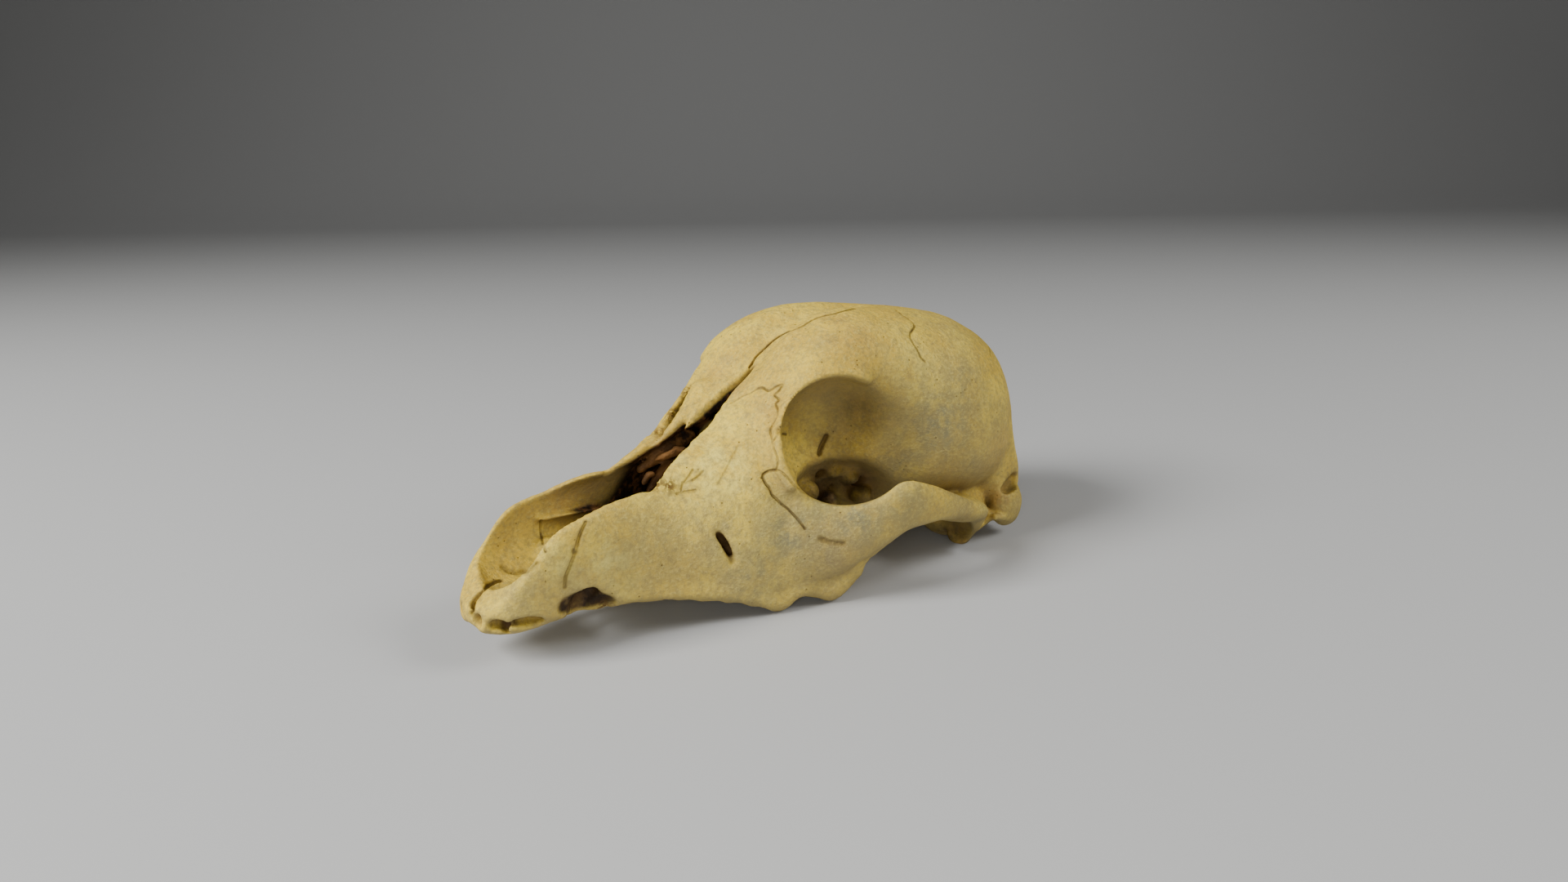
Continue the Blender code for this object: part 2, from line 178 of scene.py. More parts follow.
def bar(rows, pieces=4):
    """A rounded bar along a smooth line. A row is x, y, z, half thickness and half height. A place's
    distance is that from the nearest of the bar's short straight runs, taken as an egg's section."""
    path = smooth_path(rows, pieces)
    thick = path[:, 3:].max()
    span, X, Y, Z = around(path[:, :3].min(0) - thick, path[:, :3].max(0) + thick)
    nearest = np.float32(FAR)
    for start, end in zip(path[:-1], path[1:]):
        way = end[:3] - start[:3]
        scale = np.array((1, 1, (start[3] / start[4]) ** 2))
        t = sum((c - s) * w for c, s, w in zip((X, Y, Z), start, way * scale)) / (way @ (way * scale) + 1e-9)
        t = np.clip(t, 0, 1).astype(np.float32)
        side = start[3] + (end[3] - start[3]) * t
        tall = start[4] + (end[4] - start[4]) * t
        flat = (X - start[0] - way[0] * t) ** 2 + (Y - start[1] - way[1] * t) ** 2
        rise = (Z - start[2] - way[2] * t) ** 2
        near = np.sqrt(flat / side ** 2 + rise / tall ** 2)
        slope = np.sqrt(flat / side ** 4 + rise / tall ** 4) + 1e-6
        nearest = np.minimum(nearest, near * (near - 1) / slope)
    return span, nearest.astype(np.float32)


orbit = egg((23.0, 71.0, 31.2), (14.2, 13.4, 12.4))
temple = egg((31.0, 83.0, 24.0), (11.5, 15.0, 16.0))
vault = empty_space()
add(vault, loft([
    (58.0, 16.6, 28, 35.5, 20.0, 4.0, 2.5),
    (62.0, 18.0, 30, 41.2, 20.0, 4.6, 2.5),
    (66.5, 19.3, 32, 47.2, 20.0, 4.4, 2.5),
    (70.0, 20.0, 32, 50.2, 19.0, 4.0, 2.5),
    (76.0, 20.8, 32, 53.2, 17.0, 3.6, 2.4),
    (82.0, 21.4, 31, 54.6, 15.0, 3.3, 2.3),
    (90.0, 23.3, 30, 54.7, 12.0, 2.8, 2.3),
    (98.0, 25.4, 29, 54.2, 10.5, 2.5, 2.3),
    (106.0, 26.3, 28, 53.6, 9.8, 2.4, 2.3),
    (114.0, 25.7, 27, 52.5, 9.5, 2.4, 2.3),
    (120.0, 23.9, 27, 50.5, 10.0, 2.35, 2.35),
    (125.5, 20.3, 26, 47.6, 10.5, 2.35, 2.25),
    (129.5, 16.4, 25, 42.2, 12.0, 2.3, 2.4),
    (132.0, 9.0, 24, 33.0, 15.0, 2.2, 2.2)]))
cut(vault, bar([(0, 61.5, 44.0, 4.6, 4.6), (0, 66.5, 49.2, 4.8, 4.8), (0, 70.0, 51.8, 4.8, 4.8),
                (0, 76.0, 55.2, 4.8, 4.8), (0, 83.0, 57.6, 4.8, 4.8), (0, 92.0, 58.9, 4.8, 4.8)]), 3.0)
socket = empty_space()
add(socket, orbit)
add(socket, temple, 6.0)
whole = tuple(slice(None) for axis in axes)
cut(vault, (whole, socket), 4.0)


# Between and below: the narrow bone between the orbits, the skull's floor, the cheek arches, the tooth
# ridges, the ear capsules with the jaw joints in front of them, and the knobs and the crest at the back.
bone = face.copy()
add(bone, (whole, vault), 3.0)
# The narrow bone between the orbits, then the floor of the brain case.
add(bone, loft([
    (56, 11.0, 24, 34, 7.0, 3, 3), (66, 11.0, 26, 40, 7.5, 3, 3), (76, 10.5, 28, 44, 8.5, 3, 3),
    (86, 11.5, 26, 42, 9.0, 3, 3), (98, 16.0, 24, 38, 8.5, 3, 3)]), 4.0)
cut(bone, orbit, 2.0)
add(bone, egg((0, 105, 11), (9, 28, 3.2)), 3.0)
# The cheek arch, and its thin lower edge that runs on to the knob behind the ear.
add(bone, bar([
    (20.5, 62.0, 13.0, 3.0, 8.0), (25.5, 68.5, 13.2, 2.6, 7.4), (29.4, 74.5, 15.9, 2.0, 5.9),
    (31.4, 80.5, 18.8, 1.7, 5.0), (31.5, 86.4, 18.2, 1.6, 4.0), (30.9, 92.4, 16.8, 1.6, 2.9),
    (29.8, 98.6, 15.0, 1.6, 2.2), (28.8, 104.0, 13.2, 1.5, 1.8), (28.5, 107.6, 11.6, 1.0, 1.2)]), 2.0)
add(bone, bar([
    (27.6, 74.6, 9.6, 1.2, 1.6), (30.4, 80.2, 14.2, 1.2, 1.6), (31.3, 84.2, 15.1, 1.2, 1.4),
    (31.0, 90.0, 14.9, 1.2, 1.2), (29.4, 98.0, 13.6, 1.2, 1.2), (27.8, 105.0, 12.0, 1.2, 1.1),
    (25.6, 112.0, 9.6, 0.9, 0.9),
    (23.8, 118.5, 7.6, 0.8, 0.8), (22.6, 123.5, 6.2, 1.0, 1.0)]), 1.0)
add(bone, bar([(21.0, 110.5, 5.2, 2.0, 2.0), (20.6, 118.5, 7.2, 2.0, 1.8)]), 1.5)
# The knob low on the cheek, with a dip behind it, and the roof of the jaw joint.
add(bone, egg((23.2, 70.6, 2.6), (2.4, 3.0, 2.4)), 1.5)
cut(bone, egg((28.6, 75.6, 4.6), (2.6, 2.4, 2.6)), 1.0)
add(bone, egg((23.2, 104.6, 12.0), (6.8, 6.4, 2.8), (0, -4, 0)), 2.2)
# The raised rim of the orbit.
add(bone, bar([
    (22.6, 58.2, 24.0, 0.9, 0.9), (20.6, 57.2, 28.0, 1.0, 1.0), (19.0, 58.2, 32.5, 1.1, 1.1),
    (17.6, 61.2, 37.3, 1.1, 1.1), (17.3, 65.9, 40.8, 1.0, 1.0), (18.6, 71.6, 43.1, 0.9, 0.9),
    (20.6, 78.5, 42.0, 0.7, 0.7)]), 3.0)
cut(bone, orbit, 0.6)
# The ridge that holds the teeth, and the hollow of the palate between the two ridges.
add(bone, bar([
    (3.4, 5.6, 2.9, 1.4, 1.3), (5.2, 8.6, 2.5, 1.5, 1.3), (6.3, 12.0, 3.2, 1.6, 1.5),
    (7.0, 15.0, 4.1, 1.6, 1.5), (7.5, 18.5, 4.4, 1.6, 1.5), (9.2, 27.0, 5.4, 1.8, 1.7),
    (12.0, 36.0, 5.0, 2.0, 1.8), (15.0, 45.0, 3.7, 2.3, 1.9), (17.5, 53.0, 1.7, 2.4, 1.9),
    (19.2, 58.4, 0.1, 2.4, 2.2), (20.6, 63.0, 2.2, 2.3, 1.7),
    (22.3, 69.0, 0.9, 2.2, 2.2)]), 2.0)
cut(bone, loft([
    (22, 4.0, 0, 4.0, -9, 2.2, 2), (30, 5.5, 0, 4.0, -9, 2.4, 2), (40, 9.0, 0, 4.4, -9, 2.6, 2),
    (50, 12.5, 0, 4.6, -9, 2.8, 2), (60, 15.0, 0, 4.8, -9, 3.0, 2), (72, 17.0, 0, 5.0, -9, 3.0, 2)]), 1.5)
# The ear capsule, and the jaw joint's hollow with a ridge behind it.
add(bone, egg((14.2, 114.5, 9.0), (7.0, 10.2, 7.0), (0, 0, 14)), 1.5)
add(bone, bar([(23.4, 107.4, 9.0, 4.6, 2.4), (22.6, 106.6, 5.0, 3.2, 2.2)]), 1.2)
cut(bone, egg((23.4, 103.6, 6.6), (5.6, 4.3, 4.8)), 0.8)
# The knob behind the ear, the one inside it, and the one beside the spinal cord's opening.
add(bone, egg((21.6, 124.6, 9.4), (2.9, 4.4, 5.6), (14, 6, 0)), 1.2)
add(bone, bar([(17.5, 126.0, 10.0, 3.0, 3.0), (17.0, 127.0, 5.5, 2.0, 2.0)]), 2.0)
add(bone, egg((9.0, 129.0, 12.4), (4.0, 4.0, 5.6), (0, 25, 0)), 2.0)
# The crest across the back of the head, down to the knob behind the ear.
add(bone, bar([
    (0.5, 129.6, 44.6, 1.3, 1.3), (7.0, 127.8, 44.8, 1.2, 1.2), (12.0, 124.6, 41.4, 1.2, 1.2),
    (17.0, 123.2, 36.0, 1.2, 1.2), (20.4, 123.4, 27.0, 1.3, 1.3), (20.6, 125.8, 21.5, 1.3, 1.3),
    (20.4, 127.4, 17.6, 1.4, 1.4), (20.3, 128.0, 14.6, 1.4, 1.4)]), 2.5)
# The upright sheet of bone on each side of the throat.
add(bone, bar([
    (7.8, 66.0, 9.0, 1.2, 6.0), (7.7, 72.0, 8.5, 1.0, 5.8), (7.8, 80.0, 7.5, 1.0, 5.2),
    (8.2, 88.0, 6.5, 1.0, 4.0)]), 1.5)
cut(bone, egg((0, 80, 6.0), (6.2, 17.5, 6.8)), 1.0)


# Behind and below each orbit the bone falls away into a deep hollow. Its wall is lumpy, nerves and vessels
# pass through it by four holes, and a slit and a small nick lie higher up. Behind the arch a valley runs
# down to the ear's opening, and behind that is one more hole.
cut(bone, egg((16.2, 79.0, 15.6), (8.2, 13.0, 9.0), (-22, 0, -8)), 2.2)
for place, radii in [((9.4, 74.0, 17.2), (2.2, 2.6, 2.2)), ((10.2, 79.4, 14.6), (2.4, 2.2, 2.0)),
                     ((11.0, 84.4, 19.4), (2.3, 1.8, 1.6)), ((12.4, 86.6, 15.4), (2.6, 2.2, 2.0)),
                     ((10.4, 70.6, 14.6), (2.0, 2.6, 2.8)), ((9.6, 80.8, 20.4), (1.8, 1.6, 1.1))]:
    add(bone, egg(place, radii), 1.8)
for place, radii in [((8.6, 78.0, 20.6), (2.6, 1.0, 0.9)), ((9.4, 82.0, 16.6), (3.2, 1.2, 1.1)),
                     ((11.2, 86.2, 18.4), (3.4, 1.3, 1.0)), ((8.8, 74.6, 13.4), (3.0, 1.2, 1.5))]:
    cut(bone, egg(place, radii), 0.4)
# The slit and the nick in the orbit.
cut(bone, bar([(12.4, 74.2, 27.6, 0.45, 0.45), (12.0, 75.3, 26.4, 0.6, 0.9), (12.2, 74.4, 25.2, 0.6, 0.7),
               (12.6, 73.4, 24.4, 0.4, 0.4)]), 0.4)
cut(bone, bar([(20.6, 78.0, 40.6, 0.5, 0.4), (20.9, 80.2, 40.9, 0.5, 0.5),
               (20.7, 81.8, 41.7, 0.4, 0.4)]), 0.6)
# The valley behind the arch, and the hole behind it in its swelling of bone.
cut(bone, bar([(27.0, 117.6, 21.0, 2.2, 2.2), (25.6, 115.4, 15.0, 3.0, 3.0),
               (25.6, 115.0, 10.4, 2.6, 2.6)]), 1.6)
add(bone, egg((18.6, 123.0, 17.0), (3.6, 5.0, 7.0)), 2.0)
cut(bone, bar([(22.6, 122.6, 13.0, 1.3, 1.0), (22.2, 124.4, 13.9, 1.9, 1.4),
               (21.8, 126.8, 15.2, 1.5, 1.1)]), 0.4)


# Empty tooth sockets. A row is the place of a mouth, then its radii across, along and deep. The canine's
# long socket has lost its outer wall, so that it is a notch in the side of the muzzle. The bone before
# them is kept, because what lies below its surface is painted dark: painted shade in the sockets, and a
# real stain where the nasal bone's seat lies open.
uncut = bone.copy()
for x, y, z, across, along, deep in [
        (3.1, 4.0, 3.9, 1.1, 1.4, 1.2), (6.6, 6.2, 3.6, 2.0, 1.8, 1.2), (6.0, 8.1, 3.3, 0.9, 1.1, 1.6),
        (8.9, 10.4, 4.0, 2.0, 3.2, 1.15), (8.3, 11.4, 4.4, 1.0, 1.8, 1.5),
        (10.6, 31.0, 3.0, 1.2, 1.6, 3.0), (12.4, 37.0, 3.0, 1.3, 1.8, 3.0), (13.6, 41.2, 2.6, 1.3, 1.8, 3.0),
        (15.1, 46.2, 1.8, 1.4, 1.9, 3.4), (16.4, 50.4, 1.4, 1.5, 2.0, 3.4), (17.8, 55.6, 0.2, 1.6, 2.2, 3.8),
        (19.6, 61.8, 0.8, 1.9, 2.3, 3.4), (20.6, 67.0, -0.2, 1.6, 1.6, 2.8)]:
    cut(bone, egg((x, y, z), (across, along, deep)), 0.4)
# The canine's socket, and the notch where its outer wall was.
cut(bone, bar([(9.8, 19.6, 2.0, 2.2, 2.2), (9.6, 21.0, 5.8, 2.3, 2.3), (8.9, 23.6, 9.6, 1.4, 1.4)]), 0.5)
cut(bone, bar([(12.4, 17.4, 5.4, 2.9, 2.9), (12.5, 20.6, 4.9, 3.6, 3.5), (12.3, 23.8, 3.8, 3.0, 3.0)]), 0.4)


# The slit for the face's nerve in each cheek, which starts in a shallow dip and runs back inside, and
# each ear's opening.
cut(bone, egg((19.6, 42.4, 13.0), (2.0, 4.6, 3.8)), 1.5)
cut(bone, bar([(17.4, 43.9, 17.6, 0.4, 0.5), (17.6, 45.2, 15.6, 0.7, 0.8), (17.8, 46.4, 13.3, 0.9, 1.0),
               (17.9, 47.5, 11.2, 0.9, 1.0), (17.9, 48.1, 9.4, 0.5, 0.6)]), 0.3)
cut(bone, bar([(16.0, 45.9, 15.2, 0.6, 0.6), (15.9, 47.4, 13.2, 1.2, 1.2),
               (16.0, 48.8, 11.4, 1.2, 1.2)]), 0.3)
cut(bone, egg((22.6, 115.6, 8.4), (4.6, 1.9, 1.9)), 0.6)


# The rooms inside: the brain's, which follows the vault, and the nose's, which follows the face and is
# open on top, because both nasal bones are lost. The nose's opening is a bowl in front, and scrolls of
# thin bone stand deep inside it.
VAULT_WALL = 2.6
FLOOR_THINNER = 0.3
BRAIN_FRONT = 82
NOSE_WALL = 1.3
solid = bone.copy()
span, X, Y, Z = around((0, 80, -8), (37, 137, 59))
brain = np.maximum(vault[span] + VAULT_WALL, solid[span] + VAULT_WALL - FLOOR_THINNER)
brain = np.maximum(brain, BRAIN_FRONT - Y)
cut(bone, (span, brain), 1.0)
# The spinal cord's opening, behind the brain's room.
cut(bone, egg((0, 131, 20.0), (7.0, 9.0, 7.2)), 1.0)
span, nose = loft([
    (9.4, 6.5, 11.0, 13.0, 8.2, 2.0, 2.0), (11.0, 7.8, 12.0, 20.0, 7.4, 2.4, 2.0),
    (15.0, 9.2, 13.0, 26.0, 6.8, 3.0, 2.0), (22.0, 9.9, 13.5, 26.0, 6.4, 3.0, 2.0),
    (30.0, 10.7, 13.0, 26.0, 6.2, 3.0, 2.0), (38.0, 12.2, 12.0, 25.6, 6.0, 2.3, 2.2),
    (46.0, 14.2, 11.5, 28.4, 6.4, 2.2, 2.4), (54.0, 15.0, 13.0, 31.4, 7.0, 2.4, 2.4),
    (60.0, 13.5, 16.0, 34.5, 8.0, 2.6, 2.4), (68.0, 8.5, 22.0, 37.0, 12.0, 2.4, 2.4)])
cut(bone, (span, np.maximum(nose, solid[span] + NOSE_WALL)), 0.8)
# The bowl in front, and one of the two openings in the palate behind the incisors.
cut(bone, egg((0, 9.2, 18.6), (8.0, 8.8, 10.5)), 3.2)
cut(bone, egg((3.0, 20.0, 5.0), (1.3, 3.8, 4.0)), 0.6)
# A groove with a ledge along the wall, the upright sheet in the middle, and the scrolls.
cut(bone, bar([(9.6, 24.0, 13.2, 0.9, 1.6), (10.3, 30.0, 12.9, 1.1, 1.9), (11.2, 37.0, 12.6, 1.3, 2.1)]), 0.4)
add(bone, bar([(9.4, 22.6, 15.9, 0.9, 0.4), (9.9, 29.0, 15.7, 1.3, 0.45), (9.9, 38.0, 15.6, 1.3, 0.45)]), 0.4)
add(bone, bar([(0, 30, 7.5, 0.6, 2.0), (0, 45, 9.0, 0.6, 3.5), (0, 60, 13.0, 0.6, 5.0)]), 0.8)
for scroll in [
        [(6.4, 44.0, 20.2, 0.7, 0.7), (5.2, 47.2, 24.9, 1.2, 1.1), (4.6, 52.0, 26.6, 1.3, 0.9)],
        [(7.6, 46.0, 18.0, 0.8, 0.8), (7.0, 49.6, 22.2, 1.3, 1.0), (6.4, 56.0, 24.6, 1.4, 1.0)],
        [(3.4, 47.4, 23.4, 0.6, 0.8), (3.6, 51.0, 23.2, 0.8, 1.4), (3.6, 57.0, 25.2, 0.9, 1.6)],
        [(8.8, 44.6, 22.4, 0.8, 0.8), (8.6, 50.0, 25.0, 1.0, 1.4), (8.8, 57.0, 28.0, 1.2, 1.4)]]:
    add(bone, bar(scroll), 0.8)
cut(bone, egg((5.6, 45.4, 23.6), (1.3, 3.0, 1.0)), 0.3)


# From here the skull has both its sides. The nose's rim climbs back from the incisive bones, and behind
# it the two sides draw together to a slit. The left jaw bone ends there in a broken tongue.
bone = np.concatenate([bone[:0:-1], bone])
solid = np.concatenate([solid[:0:-1], solid])
uncut = np.concatenate([uncut[:0:-1], uncut])
axes[0] = np.concatenate([-axes[0][:0:-1], axes[0]])
NOSE_RIM = [(-2.0, 4.0), (5.8, 7.5), (8.1, 10.5), (10.6, 13.4), (13.1, 16.7), (16.5, 19.4), (20.6, 21.0),
            (26.6, 22.4), (30.0, 22.9), (41.0, 24.0)]
RIGHT_RIM_RISE = [(4.0, 0.1), (8.0, 0.2), (15.0, 0.0), (20.0, -0.6), (24.0, -0.8), (27.0, -0.2),
                  (29.5, 0.4), (33.0, 0.6), (37.0, 0.2), (41.0, 0.0)]
NOSE_SLOT = [(36.6, 8.0), (41.0, 6.2), (48.9, 4.2), (53.9, 3.1), (58.1, 2.0), (63.3, 0.95), (67.0, 0.5)]
SLOT_START, SLOT_END = NOSE_SLOT[0][0], NOSE_SLOT[-1][0]
SLOT_FLOOR = 20
SLOT_OVERLAP = 1
BREAK_LEAN = 1.3
span, X, Y, Z = around((-20, -2, 4), (20, 66.5, 59))
rim = curve(NOSE_RIM, Y) + np.where(X < 0, curve(RIGHT_RIM_RISE, Y), 0)
half_slot = np.interp(Y, *np.array(NOSE_SLOT).T)
broken_end = SLOT_START + BREAK_LEAN * np.maximum(np.abs(X) - NOSE_SLOT[0][1], 0)
front_opening = np.maximum(rim - Z, (Y - broken_end) / math.hypot(1, BREAK_LEAN))
slot = np.maximum(np.abs(X) - half_slot, SLOT_FLOOR - Z)
slot = np.maximum(slot, np.maximum(SLOT_START - SLOT_OVERLAP - Y, Y - SLOT_END))
cut(bone, (span, np.minimum(front_opening, slot).astype(np.float32)), 0.4)


# The right side of the slit has lost more: the nasal bone's seat lies open between a narrow outer band
# and a pointed tongue of the forehead's bone, and a small plate hooks down from the forehead's edge.
# The open seat, then the outer band, the tongue and the hooked plate.
cut(bone, bar([(-4.6, 42.0, 30.6, 3.0, 3.0), (-5.8, 49.5, 32.2, 2.9, 3.1), (-8.0, 55.5, 34.9, 2.9, 3.1),
               (-10.2, 60.2, 38.8, 1.5, 1.6)]), 0.3)
add(bone, bar([(-8.5, 40.6, 24.9, 0.7, 0.7), (-8.8, 43.6, 26.0, 0.8, 0.8), (-9.3, 47.2, 28.6, 0.8, 0.8),
               (-10.5, 52.5, 32.4, 0.8, 0.8), (-12.2, 58.2, 36.5, 0.8, 0.8),
               (-15.0, 63.0, 40.7, 0.6, 0.6)]), 0.8)
add(bone, bar([(-5.6, 46.7, 28.2, 0.4, 0.4), (-5.8, 50.0, 30.5, 1.0, 0.6), (-6.1, 53.5, 32.9, 1.8, 0.8),
               (-6.8, 57.0, 35.4, 2.6, 1.0), (-7.8, 60.5, 38.4, 3.2, 1.3)]), 0.5)
add(bone, bar([(-3.0, 59.4, 36.0, 0.55, 0.9), (-3.0, 57.6, 34.3, 0.6, 1.0),
               (-3.3, 56.6, 32.8, 0.55, 0.8)]), 0.3)


# The photograph's outline of that side is nearly straight from the nose up to the forehead: bone beyond the
# plane of sight through two of the outline's pixels is taken off. The photograph's eye is close to the
# nose, left of the skull and a little above it, so its distance matters as much as its direction.
EYE_AZIMUTH = math.radians(49.68)
EYE_HEIGHT = math.radians(13.0)
EYE_ROLL = math.radians(1.57)
EYE_DISTANCE = 226.7
LOOKED_AT = np.array((0.35, 74.88, 26.31))
PICTURE_WIDTH, PICTURE_HEIGHT = 1920, 1080
FOCAL_PIXELS = 1304.0

back = np.array((math.sin(EYE_AZIMUTH) * math.cos(EYE_HEIGHT),
                 -math.cos(EYE_AZIMUTH) * math.cos(EYE_HEIGHT), math.sin(EYE_HEIGHT)))
level = np.array((math.cos(EYE_AZIMUTH), math.sin(EYE_AZIMUTH), 0.0))
upright = np.cross(back, level)
eye_right = math.cos(EYE_ROLL) * level + math.sin(EYE_ROLL) * upright
eye_up = math.cos(EYE_ROLL) * upright - math.sin(EYE_ROLL) * level
eye = LOOKED_AT + back * EYE_DISTANCE
SHOULDER_LINE = (786, 545), (851, 450)
SHOULDER_FROM, SHOULDER_TO = 47.5, 65


def sight(pixels):
    """The directions in which the eye looks through pixels: straight ahead, moved aside and down by each
    pixel's offset from the picture's middle over the focal length in pixels."""
    pixels = np.array(pixels, float)
    across = (pixels[..., :1] - PICTURE_WIDTH / 2) / FOCAL_PIXELS
    down = (pixels[..., 1:] - PICTURE_HEIGHT / 2) / FOCAL_PIXELS
    return across * eye_right - down * eye_up - back


outward = np.cross(sight(SHOULDER_LINE[0]), sight(SHOULDER_LINE[1]))
outward = outward / np.linalg.norm(outward) * -np.sign(outward[0])
span, X, Y, Z = around((-37, 40, 18), (-5, 66, 52))
beyond = (X - eye[0]) * outward[0] + (Y - eye[1]) * outward[1] + (Z - eye[2]) * outward[2]
ends = np.maximum(Y - SHOULDER_TO, SHOULDER_FROM - Y)
cut(bone, (span, np.maximum(-beyond, ends).astype(np.float32)), 1.2)


# Sutures, the seams where the skull's bones meet, with a few cracks. The photograph's eye sees most of
# them on the left side, so they are kept as pixels of the photograph and carried onto the bone from there.
# A row is how deep and how wide in millimetres, how dark, whether the right side has it too, and its line.
SIGHT_NEAR, SIGHT_FAR = 120.0, 340.0
SIGHT_BLOCKED = np.linspace(2.0, 60.0, 60)
SEAM_JUMP = 4.0
LEAST_SLOPE = 0.2


def sampled(space, places):
    """The space's value at any places, weighed from the eight grid points around each."""
    cell = (places - [axis[0] for axis in axes]) / STEP
    cell = np.clip(cell, 0, np.array(space.shape) - 1.001)
    low = cell.astype(int)
    part = cell - low
    total = 0
    for corner in np.ndindex(2, 2, 2):
        share = np.prod(np.where(corner, part, 1 - part), axis=-1)
        total = total + share * space[tuple((low + corner)[..., k] for k in range(3))]
    return total


def on_bone(pixels):
    """Where the eye's lines of sight through the pixels first meet bone, found in small steps."""
    ways = sight(pixels)
    depths = np.arange(SIGHT_NEAR, SIGHT_FAR, STEP / 2)
    places = eye + ways[:, None] * depths[None, :, None]
    value = sampled(bone, places)
    hit = np.argmax(value < 0, axis=1)
    rows = np.arange(len(ways))
    before, after = value[rows, hit - 1], value[rows, hit]
    depth = depths[hit - 1] + STEP / 2 * before / (before - after)
    return (eye + ways * depth[:, None])[hit > 0]


SEEN_SUTURES = [
    (0.7, 0.19, 1.0, False, [(918, 450), (925.4, 437.5), (934.3, 428.6), (943.2, 420.5), (954, 412.5)]),
    (0.4, 0.22, 0.9, False, [(954, 412.5), (964.6, 407.1), (979, 401), (999.3, 389.6), (1020.7, 384.2),
                             (1047.5, 377.5)]),
    (0.3, 0.2, 0.85, True, [(1097, 378.8), (1106.5, 386.9), (1119.8, 397.6), (1114.5, 409.6),
                            (1118.5, 420.4), (1123.9, 428.4), (1127.9, 437.8), (1133.2, 443.1)]),
    (0.16, 0.18, 0.4, True, [(895.9, 493.8), (909.3, 485.7), (918.2, 482.1), (928, 475.9)]),
    (0.26, 0.2, 0.75, True, [(928, 475.9), (933.6, 474.6), (941.4, 478.6), (950.4, 473.2), (957.5, 471.4),
                             (953.9, 478.6), (948.6, 483.9), (953.9, 489.3), (950.4, 494.6), (952.1, 501.8),
                             (950.4, 510.7), (945, 521.4), (943.2, 528.6), (945, 539.3), (946.8, 548.2),
                             (950.4, 557.1), (952.1, 566.1), (950.4, 575)]),
    (0.24, 0.2, 0.8, True, [(962.9, 532.1), (953.9, 531.3), (950.4, 533.9), (946.8, 539.3)]),
    (0.3, 0.2, 0.8, True, [(977.1, 598.2), (968.2, 589.3), (959.3, 580.4), (950.4, 575.9), (941.4, 576.8),
                           (935.2, 580.4), (934.3, 585.7), (937.9, 592.9), (942.3, 598.2), (945, 605.4),
                           (950.4, 610.7), (957.5, 617.9), (964.6, 623.2), (977.9, 637.3), (985.9, 648)]),
    (0.45, 0.25, 1.0, True, [(717.6, 639.6), (713.5, 647.8), (709.4, 658), (705.3, 674.3), (701.2, 686.5),
                              (697.1, 696.7), (693.1, 706.9), (692, 719.2)]),
    (0.3, 0.2, 0.85, False, [(662.4, 637.6), (662, 651.8), (664.5, 666.1), (668.6, 676.3)]),
    (0.3, 0.5, 0.5, False, [(615.5, 694.7), (625.7, 700.8), (638, 700.8), (648.2, 696.7), (656.3, 690.6)]),
    (1.3, 0.42, 1.0, False, [(575.5, 752), (578.8, 737.6), (586.9, 727.3)]),
    (0.8, 0.32, 1.0, False, [(586.9, 727.3), (595.1, 719.2), (605.3, 713.1), (613.5, 711)]),
    (0.26, 0.2, 0.7, True, [(834.3, 601.8), (836, 592.9), (841.4, 585.7), (848.6, 575)]),
    (0.24, 0.2, 0.7, True, [(829, 604.4), (836.3, 602.3), (852.1, 600)]),
    (0.24, 0.2, 0.7, True, [(836, 591), (848.6, 587.5), (857.5, 580.4), (861, 575.9)]),
    (0.12, 0.18, 0.35, False, [(878.9, 592.9), (886, 580.4), (893.2, 566.1), (900.4, 551.8), (903.9, 544.6)]),
    (1.0, 0.36, 1.0, True, [(1003.8, 556.1), (1004.5, 550.5), (1007.3, 543.5), (1010.8, 536.5),
                            (1012.3, 533.7)]),
    (0.7, 0.5, 0.8, False, [(951.2, 526), (952.6, 527.6)]),
    (0.5, 0.4, 0.8, False, [(956, 528.2), (957, 529.4)]),
    (0.5, 0.4, 0.9, False, [(703.6, 675), (704.6, 677.4)]),
    (0.3, 0.5, 0.4, True, [(1005, 660), (1018, 664.5), (1033, 666)]),
    (0.12, 0.2, 0.3, False, [(1200, 405), (1204, 414), (1211, 424), (1213, 436)])]
HIDDEN_SUTURES = [
    (0.22, 0.2, 0.6, False, [(0, 98, 54), (0.6, 104, 54), (-0.5, 110, 53), (0.5, 116, 52), (0, 122, 50),
                             (0, 127, 46)]),
    (0.22, 0.2, 0.6, True, [(20.6, 121, 33), (18.5, 122.5, 37), (15.2, 124.6, 39.6), (11, 126, 43),
                            (6, 127, 45), (0, 128.5, 46)]),
    (0.22, 0.2, 0.6, False, [(0, 12, 4.6), (0.2, 30, 4), (-0.2, 45, 4.6), (0, 60, 4.8)]),
    (0.22, 0.2, 0.6, True, [(0, 52, 4.7), (5, 50, 4.4), (9, 53, 3.8), (13.5, 60, 2)]),
    (0.22, 0.2, 0.6, True, [(0, 97, 8), (5, 97.4, 8), (8.5, 98, 8.6)])]
WIGGLE = 0.35
WAVE_LENGTHS = (1.1, 1.9, 3.7)


def wandering(path, seed):
    """The path again, pushed aside by sine waves of a few lengths, as a growing seam wanders."""
    drawn = np.random.default_rng(seed)
    along = np.concatenate([[0], np.cumsum(np.linalg.norm(np.diff(path, axis=0), axis=1))])
    push = np.zeros_like(path)
    for length in WAVE_LENGTHS:
        turn = drawn.uniform(0, 2 * math.pi, (1, 3))
        wave = np.sin(2 * math.pi * along[:, None] / length + turn)
        push += WIGGLE / 3 * drawn.uniform(0.5, 1, (1, 3)) * wave
    return path + push


def even(path, gap=0.1):
    """The path as places an even gap apart."""
    along = np.concatenate([[0], np.cumsum(np.linalg.norm(np.diff(path, axis=0), axis=1))])
    spaced = np.arange(0, along[-1], gap)
    return np.stack([np.interp(spaced, along, column) for column in path.T], 1)


